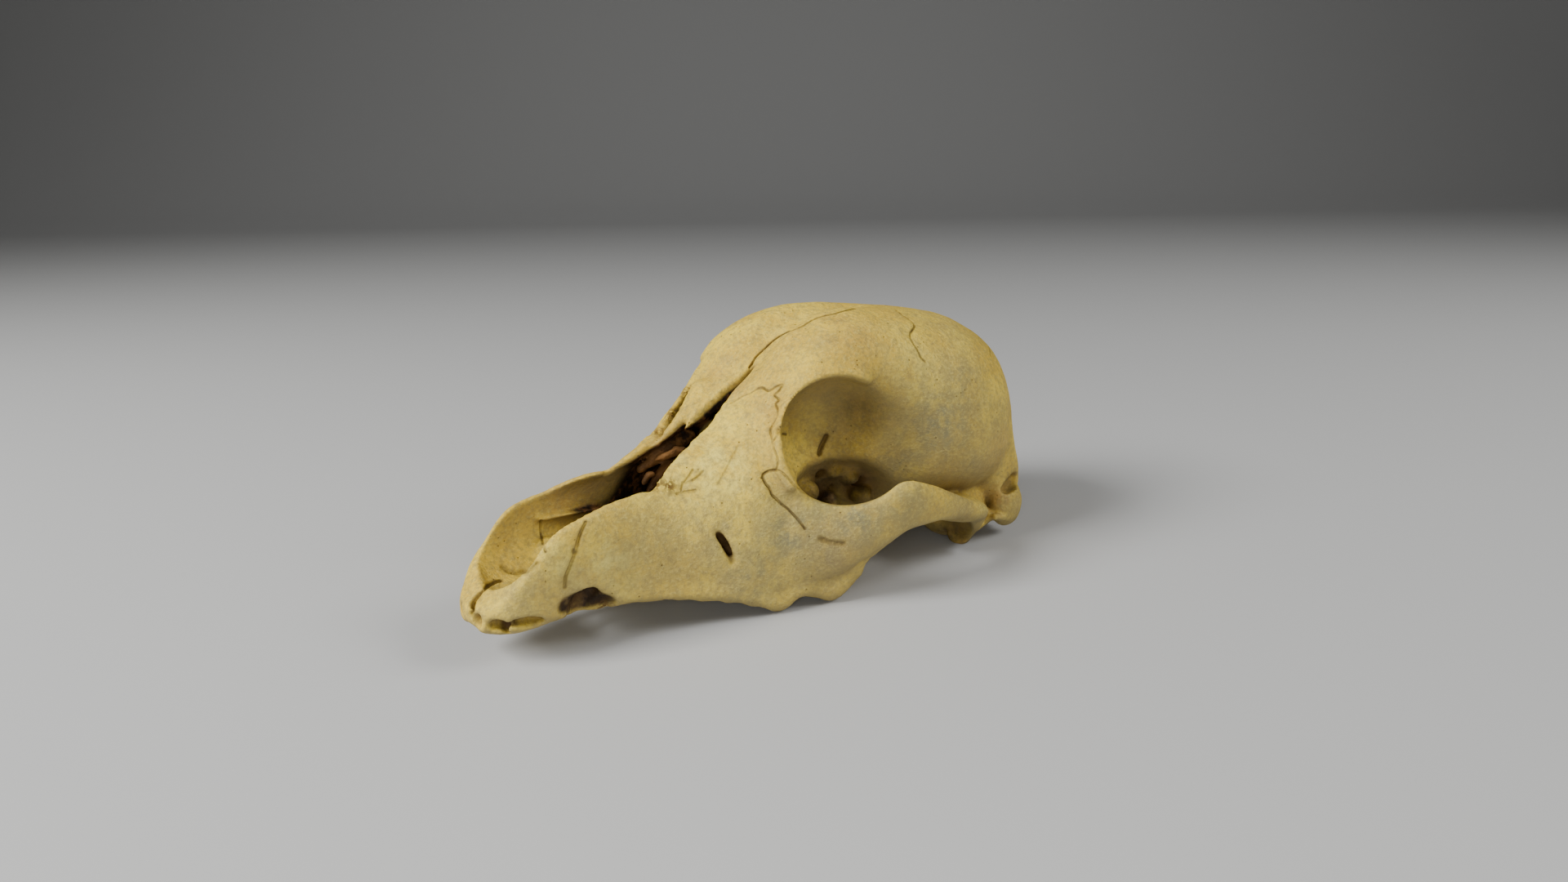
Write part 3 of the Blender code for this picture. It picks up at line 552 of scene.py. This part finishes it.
def onto_bone(path, rounds=6):
    """The path drawn onto the nearest bone, by steps along the space's own slope."""
    for _ in range(rounds):
        slope = np.stack([sampled(bone, path + reach) - sampled(bone, path - reach)
                          for reach in np.eye(3) * STEP], 1)
        steep = np.maximum(np.linalg.norm(slope, axis=1, keepdims=True), LEAST_SLOPE)
        path = path - np.clip(sampled(bone, path), -1, 1)[:, None] * slope / steep
    return path


def out_of_sight(path):
    """The part of the path that the photograph's eye doesn't see, since the seen part shows no seam: where
    bone stands 2 to 60 mm from it on the way to the eye."""
    ways = eye - path
    shares = SIGHT_BLOCKED[None, :, None] / np.linalg.norm(ways, axis=1)[:, None, None]
    return path[sampled(bone, path[:, None] + ways[:, None] * shares).min(1) < 0]


sutures = []
for depth, width, dark, both, pixels in SEEN_SUTURES:
    line = on_bone(smooth_path(pixels, 8))
    jump = np.linalg.norm(np.diff(line, axis=0), axis=1)
    for piece in np.split(line, np.nonzero(jump > SEAM_JUMP)[0] + 1):
        if len(piece) > 1:
            sutures.append((depth, width, dark, even(piece)))
            if both:
                mirrored = onto_bone(wandering(even(piece * (-1, 1, 1)), len(sutures)))
                sutures.append((depth, width, dark, out_of_sight(mirrored)))
for depth, width, dark, both, rows in HIDDEN_SUTURES:
    for side in ((1, -1) if both else (1,)):
        path = even(smooth_path(np.array(rows) * (side, 1, 1), 12))
        sutures.append((depth, width, dark, onto_bone(wandering(path, len(sutures)))))


# The surface: one corner in every cell of the grid that the bone's surface crosses, at the mean of its
# crossings, and one face across every edge of the grid that it crosses.
def skin(space):
    """The corners and four-sided faces of the surface where the space's value is 0. A crossing is found on
    a grid edge by the ratio of its two ends' values, and faces are wound to point out of the bone."""
    inside = space < 0
    cells = tuple(n - 1 for n in space.shape)
    corners = list(np.ndindex(2, 2, 2))
    full = sum(inside[tuple(slice(c, c + n) for c, n in zip(corner, cells))].astype(np.int8)
               for corner in corners)
    crossed = (full > 0) & (full < 8)
    cell = np.argwhere(crossed)
    number = np.full(cells, -1, np.int32)
    number[crossed] = np.arange(len(cell))
    total = np.zeros((len(cell), 3))
    count = np.zeros(len(cell))
    for corner in corners:
        for way in range(3):
            if corner[way]:
                continue
            here = cell + corner
            there = here + np.eye(3, dtype=int)[way]
            a, b = space[tuple(here.T)], space[tuple(there.T)]
            cross = (a < 0) != (b < 0)
            point = np.tile(np.array(corner, float), (len(cell), 1))
            point[cross, way] += a[cross] / (a[cross] - b[cross])
            total[cross] += point[cross]
            count[cross] += 1
    points = (cell + total / count[:, None]) * STEP + [axis[0] for axis in axes]
    faces = []
    for way in range(3):
        u, v = (way + 1) % 3, (way + 2) % 3
        here = [slice(1, -1)] * 3
        there = [slice(1, -1)] * 3
        here[way], there[way] = slice(0, -1), slice(1, None)
        a, b = inside[tuple(here)], inside[tuple(there)]
        edge = np.argwhere(a != b) + [0 if k == way else 1 for k in range(3)]
        leaves = a[a != b]

        def corner_number(du, dv):
            """The corners in the cells that lie du and dv back from the crossed edges."""
            place = edge.copy()
            place[:, u] -= du
            place[:, v] -= dv
            return number[tuple(place.T)]

        ring = np.stack([corner_number(*turn) for turn in ((1, 1), (0, 1), (0, 0), (1, 0))], 1)
        ring[~leaves] = ring[~leaves][:, ::-1]
        faces.append(ring)
    return points, np.concatenate(faces)


def softened(space):
    """Each point averaged with its neighbours, which takes the grid's own marks off thin edges."""
    for way in range(3):
        space = (2 * space + np.roll(space, 1, way) + np.roll(space, -1, way)) / 4
    return space


points, faces = skin(softened(bone))
mesh = bpy.data.meshes.new("cranium_bone")
mesh.from_pydata(points.tolist(), [], faces.tolist())
mesh.update()


# The seams are cut into the surface: faces near them are split finer, and corners sink towards the
# middle of each seam. The rest of the surface gets the slight unevenness of grown bone.
RUN_LENGTH = 24
LATTICE = 64


def corners_of(mesh):
    """The places of the mesh's corners, one row each."""
    values = np.empty(len(mesh.vertices) * 3, np.float32)
    mesh.vertices.foreach_get("co", values)
    return values.reshape(-1, 3)


def normals_of(mesh):
    """The outward direction at each of the mesh's corners, one row each."""
    values = np.empty(len(mesh.vertices) * 3, np.float32)
    mesh.vertex_normals.foreach_get("vector", values)
    return values.reshape(-1, 3)


def near_path(places, path, reach):
    """The distance from each place to the path, or reach where it is further, in short runs."""
    far = np.full(len(places), reach, np.float32)
    order = np.argsort(places[:, 1])
    sorted_y = places[order, 1]
    for start in range(0, len(path), RUN_LENGTH):
        run = path[start:start + RUN_LENGTH]
        low, high = run.min(0) - reach, run.max(0) + reach
        band = order[slice(*np.searchsorted(sorted_y, (low[1], high[1])))]
        band = band[np.all((places[band] > low) & (places[band] < high), axis=1)]
        if len(band):
            gaps = np.linalg.norm(places[band, None] - run[None], axis=2).min(1)
            far[band] = np.minimum(far[band], gaps)
    return far


def split_near_seams(mesh, reach):
    """Edges whose two ends lie nearer to a seam than reach are halved, and their faces with them."""
    places = corners_of(mesh)
    near = np.zeros(len(places), bool)
    for depth, width, dark, path in sutures:
        near |= near_path(places, path, reach) < reach
    ends = np.empty(len(mesh.edges) * 2, np.int32)
    mesh.edges.foreach_get("vertices", ends)
    chosen = np.nonzero(near[ends.reshape(-1, 2)].all(1))[0]
    shape = bmesh.new()
    shape.from_mesh(mesh)
    shape.edges.ensure_lookup_table()
    edges = [shape.edges[k] for k in chosen]
    bmesh.ops.subdivide_edges(shape, edges=edges, cuts=1, use_grid_fill=True)
    shape.to_mesh(mesh)
    shape.free()
    mesh.update()


def uneven(places, size, seed):
    """Smooth random values from -1 to 1, drawn on a lattice of the given size and blended between."""
    drawn = np.random.default_rng(seed).uniform(-1, 1, (LATTICE, LATTICE, LATTICE))
    cell = places / size
    low = np.floor(cell).astype(int)
    part = cell - low
    part = part * part * (3 - 2 * part)
    total = 0
    for corner in np.ndindex(2, 2, 2):
        share = np.prod(np.where(corner, part, 1 - part), axis=1)
        total = total + share * drawn[tuple(((low + corner) % LATTICE).T)]
    return total


def ball(places, centre, size):
    """1 at the centre, falling as e to the minus square of the distance over the size."""
    return np.exp(-(np.linalg.norm(places - centre, axis=1) / size) ** 2)


for reach in (0.9, 0.6):
    split_near_seams(mesh, reach)
places = corners_of(mesh)
normals = normals_of(mesh)
sink = np.zeros(len(places))
jag = 1 + 0.5 * uneven(places, 0.8, 3)
for depth, width, dark, path in sutures:
    gap = near_path(places, path, width * 3)
    sink = np.maximum(sink, depth * jag * np.exp(-(gap / width) ** 2) * (gap < width * 3))
BROKEN_EDGES = [((7.8, 37.6, 24.6), 2.6), ((9.4, 39.6, 24.0), 2.2), ((-9.6, 53.5, 32.6), 3.0),
                ((-11.2, 58.0, 36.4), 2.6), ((-8.6, 49.0, 29.4), 2.2), ((10.2, 19.0, 2.6), 2.6),
                ((9.6, 25.4, 3.0), 2.6)]
broken = np.max([ball(places, centre, size) for centre, size in BROKEN_EDGES], axis=0)
hollow = sum(ball(places, (x, 79, 16), 8) for x in (11, -11))
scrolls = sum(ball(places, (x, 48, 24.5), 6) for x in (4.5, -4.5))

# How deep, in millimetres, how wide, and the seed of each sort of unevenness.
ROUGHNESS = [(0.5 * scrolls, 1.3, 9), (0.12, 6.0, 4), (0.45 * hollow, 1.9, 8), (0.07, 2.6, 5),
             (0.03, 1.1, 6), (0.3 * broken, 0.7, 7)]
sink += sum(depth * uneven(places, size, seed) for depth, size, seed in ROUGHNESS)
places = places - normals * sink[:, None]
mesh.vertices.foreach_set("co", places.astype(np.float32).ravel())
mesh.update()


# The finished surface keeps its corners where it bends and drops them where it is flat, so that its most
# worked places, the seams and broken edges, stay sharp.
MOST_TRIANGLES = 190000
triangles = sum(len(face.vertices) - 2 for face in mesh.polygons)
shaped = bpy.data.objects.new("shaped", mesh)
bpy.context.scene.collection.objects.link(shaped)
thinning = shaped.modifiers.new("thinning", "DECIMATE")
thinning.ratio = min(1.0, MOST_TRIANGLES / triangles)
dressed = shaped.evaluated_get(bpy.context.evaluated_depsgraph_get())
mesh = bpy.data.meshes.new_from_object(dressed)
mesh.name = "cranium_bone"
bpy.data.objects.remove(shaped)


# What the bone's colour follows: how enclosed a place is, which paints shade into pits and recesses, how
# near a seam, the tissue dried deep in the nose, which side faces down, which paints shade on downward
# faces, painted shade in hollows and sockets with a real stain on the nasal seat, and patches of warm,
# grey and pale bone, the grey partly painted shade.
def box_blur(space, half):
    """Each point's mean over a cube of 2 half + 1 points a side."""
    for way in range(3):
        padded = np.concatenate([np.zeros_like(np.take(space, [0], way)), np.cumsum(space, way)], way)
        n = space.shape[way]
        at = np.arange(n)
        high = np.take(padded, np.minimum(at + half + 1, n), way)
        low = np.take(padded, np.maximum(at - half, 0), way)
        space = (high - low) / (2 * half + 1)
    return space


def enclosed(places, normals, size):
    """How much bone stands around a place just above the surface, from none to all around it."""
    half = max(1, round(size / STEP))
    filled = box_blur(box_blur((bone < 0).astype(np.float32), half), half)
    return sampled(filled, places + normals * size)


def ramp(value, start, width):
    """0 up to the start, then straight up to 1 over the width."""
    return np.clip((value - start) / width, 0, 1)


places = corners_of(mesh)
normals = normals_of(mesh)
# Painted shade: pits darken with how much bone closes round them just above the surface.
pit_shade = ramp(enclosed(places, normals, 0.9), 0.16, 0.34)
# Painted shade: wider recesses darken with how much bone stands round them.
recess_shade = ramp(enclosed(places, normals, 3.2), 0.14, 0.36)
seam = np.zeros(len(places))
for depth, width, dark, path in sutures:
    gap = near_path(places, path, width * 4)
    shade = np.minimum(1, 1.8 * np.exp(-(gap / (width * 1.15)) ** 2))
    seam = np.maximum(seam, dark * shade * (gap < width * 4))


def patches(rows):
    """The strongest, at each place, of soft balls given as centre, size and strength."""
    return np.max([strength * ball(places, centre, size) for centre, size, strength in rows], axis=0)


def seen(rows):
    """Patches whose centres are pixels of the photograph, with each pixel carried onto the bone."""
    return patches([(on_bone([pixel])[0], size, strength) for pixel, size, strength in rows])


# Painted shade, as x, y, z, size and strength: dark in the deep hollows under and in each orbit, under the
# jaw joint and in the hole behind the ear.
HOLLOW_SHADE = [
    (10.5, 78, 16.0, 8.5, 1.0), (11, 86, 17.5, 6.0, 1.0), (10, 71, 15, 5.5, 1.0), (13, 80, 28, 7.0, 0.4),
    (15, 83, 35, 8.0, 0.6), (12, 88, 26, 8.0, 0.6), (21, 107, 5.0, 6.5, 0.9), (22, 124.8, 14.2, 2.0, 1.0)]
# Painted shade inside the canine's notch, the cheek's nerve slit and an incisor's socket; then the real stain
# on the right nasal bone's open seat, as centre, size and strength.
SOCKET_SHADE = [(9.6, 20.5, 5.5, 7.5, 1.0), (17.0, 47.5, 12.5, 5.0, 1.0), (6.0, 8.3, 3.4, 1.6, 1.0)]
SEAT_STAINS = [((-9.2, 52.0, 31.5), 4.5, 0.9), ((-11.0, 58.0, 36.0), 3.5, 0.9),
               ((-7.5, 46.0, 28.0), 3.0, 0.9)]
WARM_PATCHES = [
    ((905, 474), 3.5, 0.9), ((690, 612), 6.0, 0.75), ((730, 600), 6.0, 0.9), ((645, 640), 6.0, 0.35),
    ((945, 500), 5.0, 0.5), ((1040, 405), 9.0, 0.55), ((1220, 560), 6.0, 0.6), ((1217, 615), 4.5, 1.0),
    ((1145, 588), 5.0, 0.5), ((1030, 692), 6.0, 0.45), ((880, 460), 5.0, 0.5), ((1000, 470), 6.0, 0.35),
    ((815, 553), 4.0, 1.0), ((1000, 590), 5.0, 0.7), ((1060, 585), 4.0, 0.7)]
# Grey patches on the temple, cheeks and below the orbit: partly the bone's grey tone, partly painted shade.
GREY_AND_SHADE_PATCHES = [
    ((1150, 520), 13.0, 1.0), ((1180, 470), 9.0, 0.8), ((1110, 560), 9.0, 0.9), ((1190, 570), 8.0, 0.7),
    ((800, 670), 12.0, 0.6), ((970, 655), 9.0, 1.0), ((1010, 690), 8.0, 1.0), ((1050, 640), 9.0, 1.0),
    ((700, 720), 5.0, 0.5), ((650, 735), 6.0, 0.6), ((870, 670), 9.0, 0.6), ((1110, 625), 8.0, 0.8),
    ((1180, 610), 8.0, 0.7), ((1160, 400), 9.0, 0.5), ((890, 640), 1.7, 1.0), ((1010, 520), 8.0, 0.6),
    ((1220, 520), 9.0, 0.5), ((1235, 620), 6.0, 0.8), ((920, 710), 9.0, 0.9), ((1010, 640), 9.0, 0.8),
    ((1190, 640), 6.0, 0.9)]
PALE_PATCHES = [
    ((745, 690), 6.0, 0.9), ((685, 690), 4.0, 0.9), ((720, 720), 4.0, 0.5), ((1110, 440), 8.0, 0.5),
    ((870, 570), 9.0, 0.8), ((915, 600), 6.0, 0.5), ((960, 400), 9.0, 0.3), ((1090, 605), 4.0, 0.3)]
SCROLLS = [((4.5, 47.5, 24.5), 5.0, 1.0), ((-4.5, 47.5, 24.5), 5.0, 1.0)]
NOSE_BACK = 80
TISSUE_FROM, TISSUE_WIDTH = 34.0, 9
WARM_FROM, WARM_WIDTH = 20, 12


def both_sides(rows):
    """Rows of x, y, z, size and strength as balls on the left and on the right."""
    return [((x * way, y, z), size, strength) for way in (1, -1) for x, y, z, size, strength in rows]


scooped = ramp(-sampled(uncut, places), 0.35, 0.7) * ramp(sampled(solid, places), -0.9, 0.5)
socket_shade_and_seat_stain = np.minimum(1, 1.5 * patches(both_sides(SOCKET_SHADE) + SEAT_STAINS))
in_nose = ramp(-sampled(solid, places), 0.9, 1.5) * (places[:, 1] < NOSE_BACK)
inward = places[:, 1] + 0.8 * np.abs(places[:, 0])
layers = {
    "seam": seam,
    "pit_shade": pit_shade,
    "recess_shade": recess_shade,
    # Painted shade on faces that turn down.
    "under": ramp(-normals[:, 2], -0.35, 0.9),
    "tissue": in_nose * ramp(inward, TISSUE_FROM, TISSUE_WIDTH),
    # Painted shade in hollows and sockets, and the real stain of the open nasal seat.
    "shade_and_stain": np.maximum(patches(both_sides(HOLLOW_SHADE)), scooped * socket_shade_and_seat_stain),
    "warm": np.maximum(seen(WARM_PATCHES), in_nose * ramp(places[:, 1], WARM_FROM, WARM_WIDTH)),
    # Partly grey bone, partly painted shade.
    "grey_and_shade": seen(GREY_AND_SHADE_PATCHES),
    "pale": seen(PALE_PATCHES),
    "broken": patches([(centre, size * 0.7, 1.0) for centre, size in BROKEN_EDGES]),
    "scroll": patches(SCROLLS)}
for name, value in layers.items():
    attribute = mesh.attributes.new(name, "FLOAT", "POINT")
    attribute.data.foreach_set("value", np.clip(value, 0, 1).astype(np.float32))


# The skull's place: tipped back a little and set down on its cheek-tooth ridges and its ear capsules. It
# grew as one piece, so it is one mesh that takes the one solid's place.
REST_PITCH = math.radians(3.4)
REST_BACK = -0.0686
MILLIMETRE = 0.001
tip = Matrix.Rotation(-REST_PITCH, 4, "X")
tipped = places * MILLIMETRE @ np.array(tip.to_3x3()).T
stand = Matrix.Translation((0, REST_BACK, -float(tipped[:, 2].min()))) @ tip
tipped += np.array(stand.translation)
mesh.vertices.foreach_set("co", tipped.astype(np.float32).ravel())
mesh.polygons.foreach_set("use_smooth", np.ones(len(mesh.polygons), bool))
mesh.update()
cranium = bpy.data.objects.new("cranium_bone", mesh)
bpy.context.scene.collection.objects.link(cranium)
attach(cranium, "root")
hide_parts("cranium")


# Old, dry bone: yellow ochre with paler and greyer clouds and orange patches, painted shade of orange-brown
# in its recesses and brown in its pits, brown in seams, fine pores and a fibrous grain. Sizes are in
# metres on Object coordinates.
material = bpy.data.materials.new("dry_bone")
material.use_nodes = True
nodes, links = material.node_tree.nodes, material.node_tree.links
shader = nodes["Principled BSDF"]
where = nodes.new("ShaderNodeTexCoord").outputs["Object"]


def noise(size, detail=3.0, rough=0.55, stretch=(1, 1, 1)):
    """Noise whose largest clouds are about the given size across."""
    scaled = nodes.new("ShaderNodeMapping")
    scaled.inputs["Scale"].default_value = stretch
    links.new(where, scaled.inputs["Vector"])
    texture = nodes.new("ShaderNodeTexNoise")
    texture.inputs["Scale"].default_value = 1 / size
    texture.inputs["Detail"].default_value = detail
    texture.inputs["Roughness"].default_value = rough
    links.new(scaled.outputs["Vector"], texture.inputs["Vector"])
    return texture.outputs["Fac"]


def ranged(value, low, high, start=0.0, end=1.0):
    """The value carried from one range to another and held inside it."""
    node = nodes.new("ShaderNodeMapRange")
    node.interpolation_type = "SMOOTHSTEP"
    for socket, number in (("From Min", low), ("From Max", high), ("To Min", start), ("To Max", end)):
        node.inputs[socket].default_value = number
    links.new(value, node.inputs["Value"])
    return node.outputs["Result"]


def worked(kind, a, b):
    """Two values, each a number or a node's output, added, subtracted or multiplied."""
    node = nodes.new("ShaderNodeMath")
    node.operation = kind
    node.use_clamp = kind == "MULTIPLY"
    for socket, value in zip(node.inputs, (a, b)):
        if isinstance(value, (int, float)):
            socket.default_value = value
        else:
            links.new(value, socket)
    return node.outputs["Value"]


def layer(name):
    """The mesh's own value of that name."""
    node = nodes.new("ShaderNodeAttribute")
    node.attribute_name = name
    return node.outputs["Fac"]


def mixed(under, over, share):
    """The colour over laid on the colour under by a share from 0 to 1."""
    node = nodes.new("ShaderNodeMix")
    node.data_type = "RGBA"
    sockets = {"Factor": share, "A": under, "B": over}
    for socket in node.inputs:
        value = sockets.get(socket.name)
        if value is None or (socket.name != "Factor" and socket.type != "RGBA"):
            continue
        if socket.name == "Factor" and socket.type != "VALUE":
            continue
        if isinstance(value, (int, float)):
            socket.default_value = value
        elif isinstance(value, tuple):
            socket.default_value = (*value, 1)
        else:
            links.new(value, socket)
    return node.outputs[2]


OCHRE = (0.70, 0.465, 0.05)
STRAW = (0.86, 0.615, 0.065)
ORANGE = (0.50, 0.285, 0.07)
GREY_GREEN = (0.24, 0.225, 0.12)
CREAM = (0.94, 0.78, 0.17)
BROWN = (0.12, 0.06, 0.014)
DARK_BROWN = (0.045, 0.022, 0.008)
NEAR_BLACK = (0.012, 0.007, 0.004)
TAN = (0.40, 0.29, 0.075)
SPECKLE_TAN = (0.30, 0.23, 0.085)
GRAIN_PALE = (0.90, 0.74, 0.19)
UNDERSIDE_SHADE_OLIVE = (0.27, 0.215, 0.10)
RECESS_SHADE_BROWN = (0.26, 0.16, 0.04)
SHADE_AND_STAIN_DARK, SHADE_AND_STAIN_LIGHT = (0.02, 0.012, 0.006), (0.09, 0.05, 0.018)
TISSUE_BROWN = (0.20, 0.09, 0.025)
SCROLL_BROWN = (0.27, 0.125, 0.035)
PORE_GAP = 0.0016
RELIEF_HEIGHT = 0.0005

clouds = noise(0.011, 3)
small_clouds = noise(0.0032, 4, 0.62)
speckle = noise(0.0009, 3, 0.6)
grain = noise(0.00055, 3, 0.7, (1.0, 0.7, 1.0))
colour = mixed(OCHRE, STRAW, ranged(clouds, 0.38, 0.66))
colour = mixed(colour, CREAM, worked("MULTIPLY", layer("pale"), ranged(small_clouds, 0.35, 0.65)))
greyness = ranged(small_clouds, 0.36, 0.6, 0.5, 1.0)
# Grey-green patches: partly the bone's grey tone, partly painted shade on the temple and cheeks.
colour = mixed(colour, GREY_GREEN, worked("MULTIPLY", layer("grey_and_shade"), greyness))
colour = mixed(colour, GREY_GREEN, worked("MULTIPLY", ranged(noise(0.006, 4, 0.6), 0.55, 0.75), 0.4))
warmth = ranged(small_clouds, 0.3, 0.6, 0.35, 0.85)
colour = mixed(colour, ORANGE, worked("MULTIPLY", layer("warm"), warmth))
colour = mixed(colour, TAN, ranged(noise(0.0021, 3, 0.6), 0.46, 0.7, 0.0, 0.5))
colour = mixed(colour, SPECKLE_TAN, ranged(speckle, 0.42, 0.68, 0.0, 0.55))
colour = mixed(colour, GRAIN_PALE, ranged(grain, 0.46, 0.7, 0.0, 0.32))
pore_field = nodes.new("ShaderNodeTexVoronoi")
pore_field.inputs["Scale"].default_value = 1 / PORE_GAP
links.new(where, pore_field.inputs["Vector"])
pores = ranged(pore_field.outputs["Distance"], 0.05, 0.13, 1.0, 0.0)
pores = worked("MULTIPLY", pores, ranged(noise(0.005, 2), 0.5, 0.6))
colour = mixed(colour, BROWN, worked("MULTIPLY", pores, 0.75))
# Painted shade: olive darkening on faces that turn down.
colour = mixed(colour, UNDERSIDE_SHADE_OLIVE, worked("MULTIPLY", layer("under"), 0.72))
# Painted shade: orange-brown in wide recesses.
colour = mixed(colour, RECESS_SHADE_BROWN, worked("MULTIPLY", layer("recess_shade"), 0.36))
# Near-black to dark brown: painted shade in hollows and sockets, and the real stain of the nasal seat.
shade_and_stain_colour = mixed(SHADE_AND_STAIN_DARK, SHADE_AND_STAIN_LIGHT, ranged(noise(0.0026, 4, 0.62), 0.42, 0.64))
shade_and_stain_share = ranged(small_clouds, 0.2, 0.5, 0.7, 1.0)
colour = mixed(colour, shade_and_stain_colour, worked("MULTIPLY", layer("shade_and_stain"), shade_and_stain_share))
# Painted shade: brown in small pits and tight corners.
colour = mixed(colour, BROWN, worked("MULTIPLY", layer("pit_shade"), 0.6))
colour = mixed(colour, BROWN, worked("MULTIPLY", layer("broken"), ranged(noise(0.0008, 2), 0.4, 0.55)))
colour = mixed(colour, DARK_BROWN, worked("MULTIPLY", layer("seam"), 0.92))
tissue_colour = mixed(NEAR_BLACK, TISSUE_BROWN, ranged(noise(0.0028, 4, 0.65), 0.45, 0.68))
tissue_colour = mixed(tissue_colour, SCROLL_BROWN, worked("MULTIPLY", layer("warm"), layer("scroll")))
colour = mixed(colour, tissue_colour, ranged(layer("tissue"), 0.15, 0.6))
links.new(colour, shader.inputs["Base Color"])
links.new(ranged(small_clouds, 0.3, 0.7, 0.52, 0.7), shader.inputs["Roughness"])
shader.inputs["Specular IOR Level"].default_value = 0.18
relief = worked("ADD", worked("MULTIPLY", speckle, 0.55), worked("MULTIPLY", grain, 0.45))
relief = worked("SUBTRACT", relief, worked("MULTIPLY", pores, 0.9))
bump = nodes.new("ShaderNodeBump")
bump.inputs["Strength"].default_value = 0.7
bump.inputs["Distance"].default_value = RELIEF_HEIGHT
links.new(relief, bump.inputs["Height"])
links.new(bump.outputs["Normal"], shader.inputs["Normal"])
mesh.materials.append(material)


# The studio: a plain pale floor that curves up into a backdrop, two softboxes with a weaker fill light, and
# the camera, where the photograph's eye was.
FLOOR_FRONT, FLOOR_BACK = -1.5, 1.2
FLOOR_HALF_WIDTH = 4.0
BEND_RADIUS = 0.8
BACKDROP_TOP = 3.0


def backdrop():
    """A sheet whose profile is a straight floor, a quarter circle and a straight wall, turned to face the
    camera."""
    bend = np.linspace(0.1, 1, 12) * math.pi / 2
    depth = np.concatenate([[FLOOR_FRONT, FLOOR_BACK], FLOOR_BACK + BEND_RADIUS * np.sin(bend)])
    height = np.concatenate([[0, 0], BEND_RADIUS - BEND_RADIUS * np.cos(bend)])
    depth = np.append(depth, depth[-1])
    height = np.append(height, BACKDROP_TOP)
    turn = Matrix.Rotation(EYE_AZIMUTH, 3, "Z")
    rows = [turn @ Vector((x, y, z)) for y, z in zip(depth, height)
            for x in (-FLOOR_HALF_WIDTH, FLOOR_HALF_WIDTH)]
    sheets = [(2 * k, 2 * k + 1, 2 * k + 3, 2 * k + 2) for k in range(len(depth) - 1)]
    sheet = bpy.data.meshes.new("floor")
    sheet.from_pydata(rows, [], sheets)
    sheet.polygons.foreach_set("use_smooth", np.ones(len(sheets), bool))
    paint = bpy.data.materials.new("floor_paint")
    paint.use_nodes = True
    shader = paint.node_tree.nodes["Principled BSDF"]
    shader.inputs["Base Color"].default_value = (0.5, 0.5, 0.49, 1)
    shader.inputs["Roughness"].default_value = 0.9
    sheet.materials.append(paint)
    floor = bpy.data.objects.new("floor", sheet)
    bpy.context.scene.collection.objects.link(floor)
    return floor


backdrop()


def soft_light(name, place, aim, size, power):
    """A white square light of the given size in metres and power in watts, turned towards its aim."""
    lamp = bpy.data.lights.new(name, "AREA")
    lamp.size = size
    lamp.energy = power
    light = bpy.data.objects.new(name, lamp)
    light.location = place
    light.rotation_euler = (Vector(aim) - Vector(place)).to_track_quat("-Z", "Y").to_euler()
    bpy.context.scene.collection.objects.link(light)


MIDDLE = (0.0, 0.0, 0.025)
soft_light("front_softbox", (-0.15, -0.68, 0.58), MIDDLE, 0.4, 10.8)
soft_light("rear_softbox", (0.55, 0.47, 0.60), MIDDLE, 0.4, 4.2)
soft_light("side_fill", (0.30, -0.28, 0.12), (0.01, -0.045, 0.02), 0.15, 0.56)
world = bpy.data.worlds.new("studio")
world.use_nodes = True
world.node_tree.nodes["Background"].inputs["Color"].default_value = (1, 1, 1, 1)
world.node_tree.nodes["Background"].inputs["Strength"].default_value = 0.09
bpy.context.scene.world = world

camera = bpy.data.objects.new("camera", bpy.data.cameras.new("camera"))
camera.data.sensor_width = 36.0
camera.data.lens = FOCAL_PIXELS / PICTURE_WIDTH * camera.data.sensor_width
camera.data.clip_start = 0.01
view = Matrix([(*column, 0) for column in zip(eye_right, eye_up, back)] + [(0, 0, 0, 1)])
camera.matrix_world = stand @ Matrix.Translation(Vector(eye) * MILLIMETRE) @ view
bpy.context.scene.collection.objects.link(camera)
bpy.context.scene.camera = camera
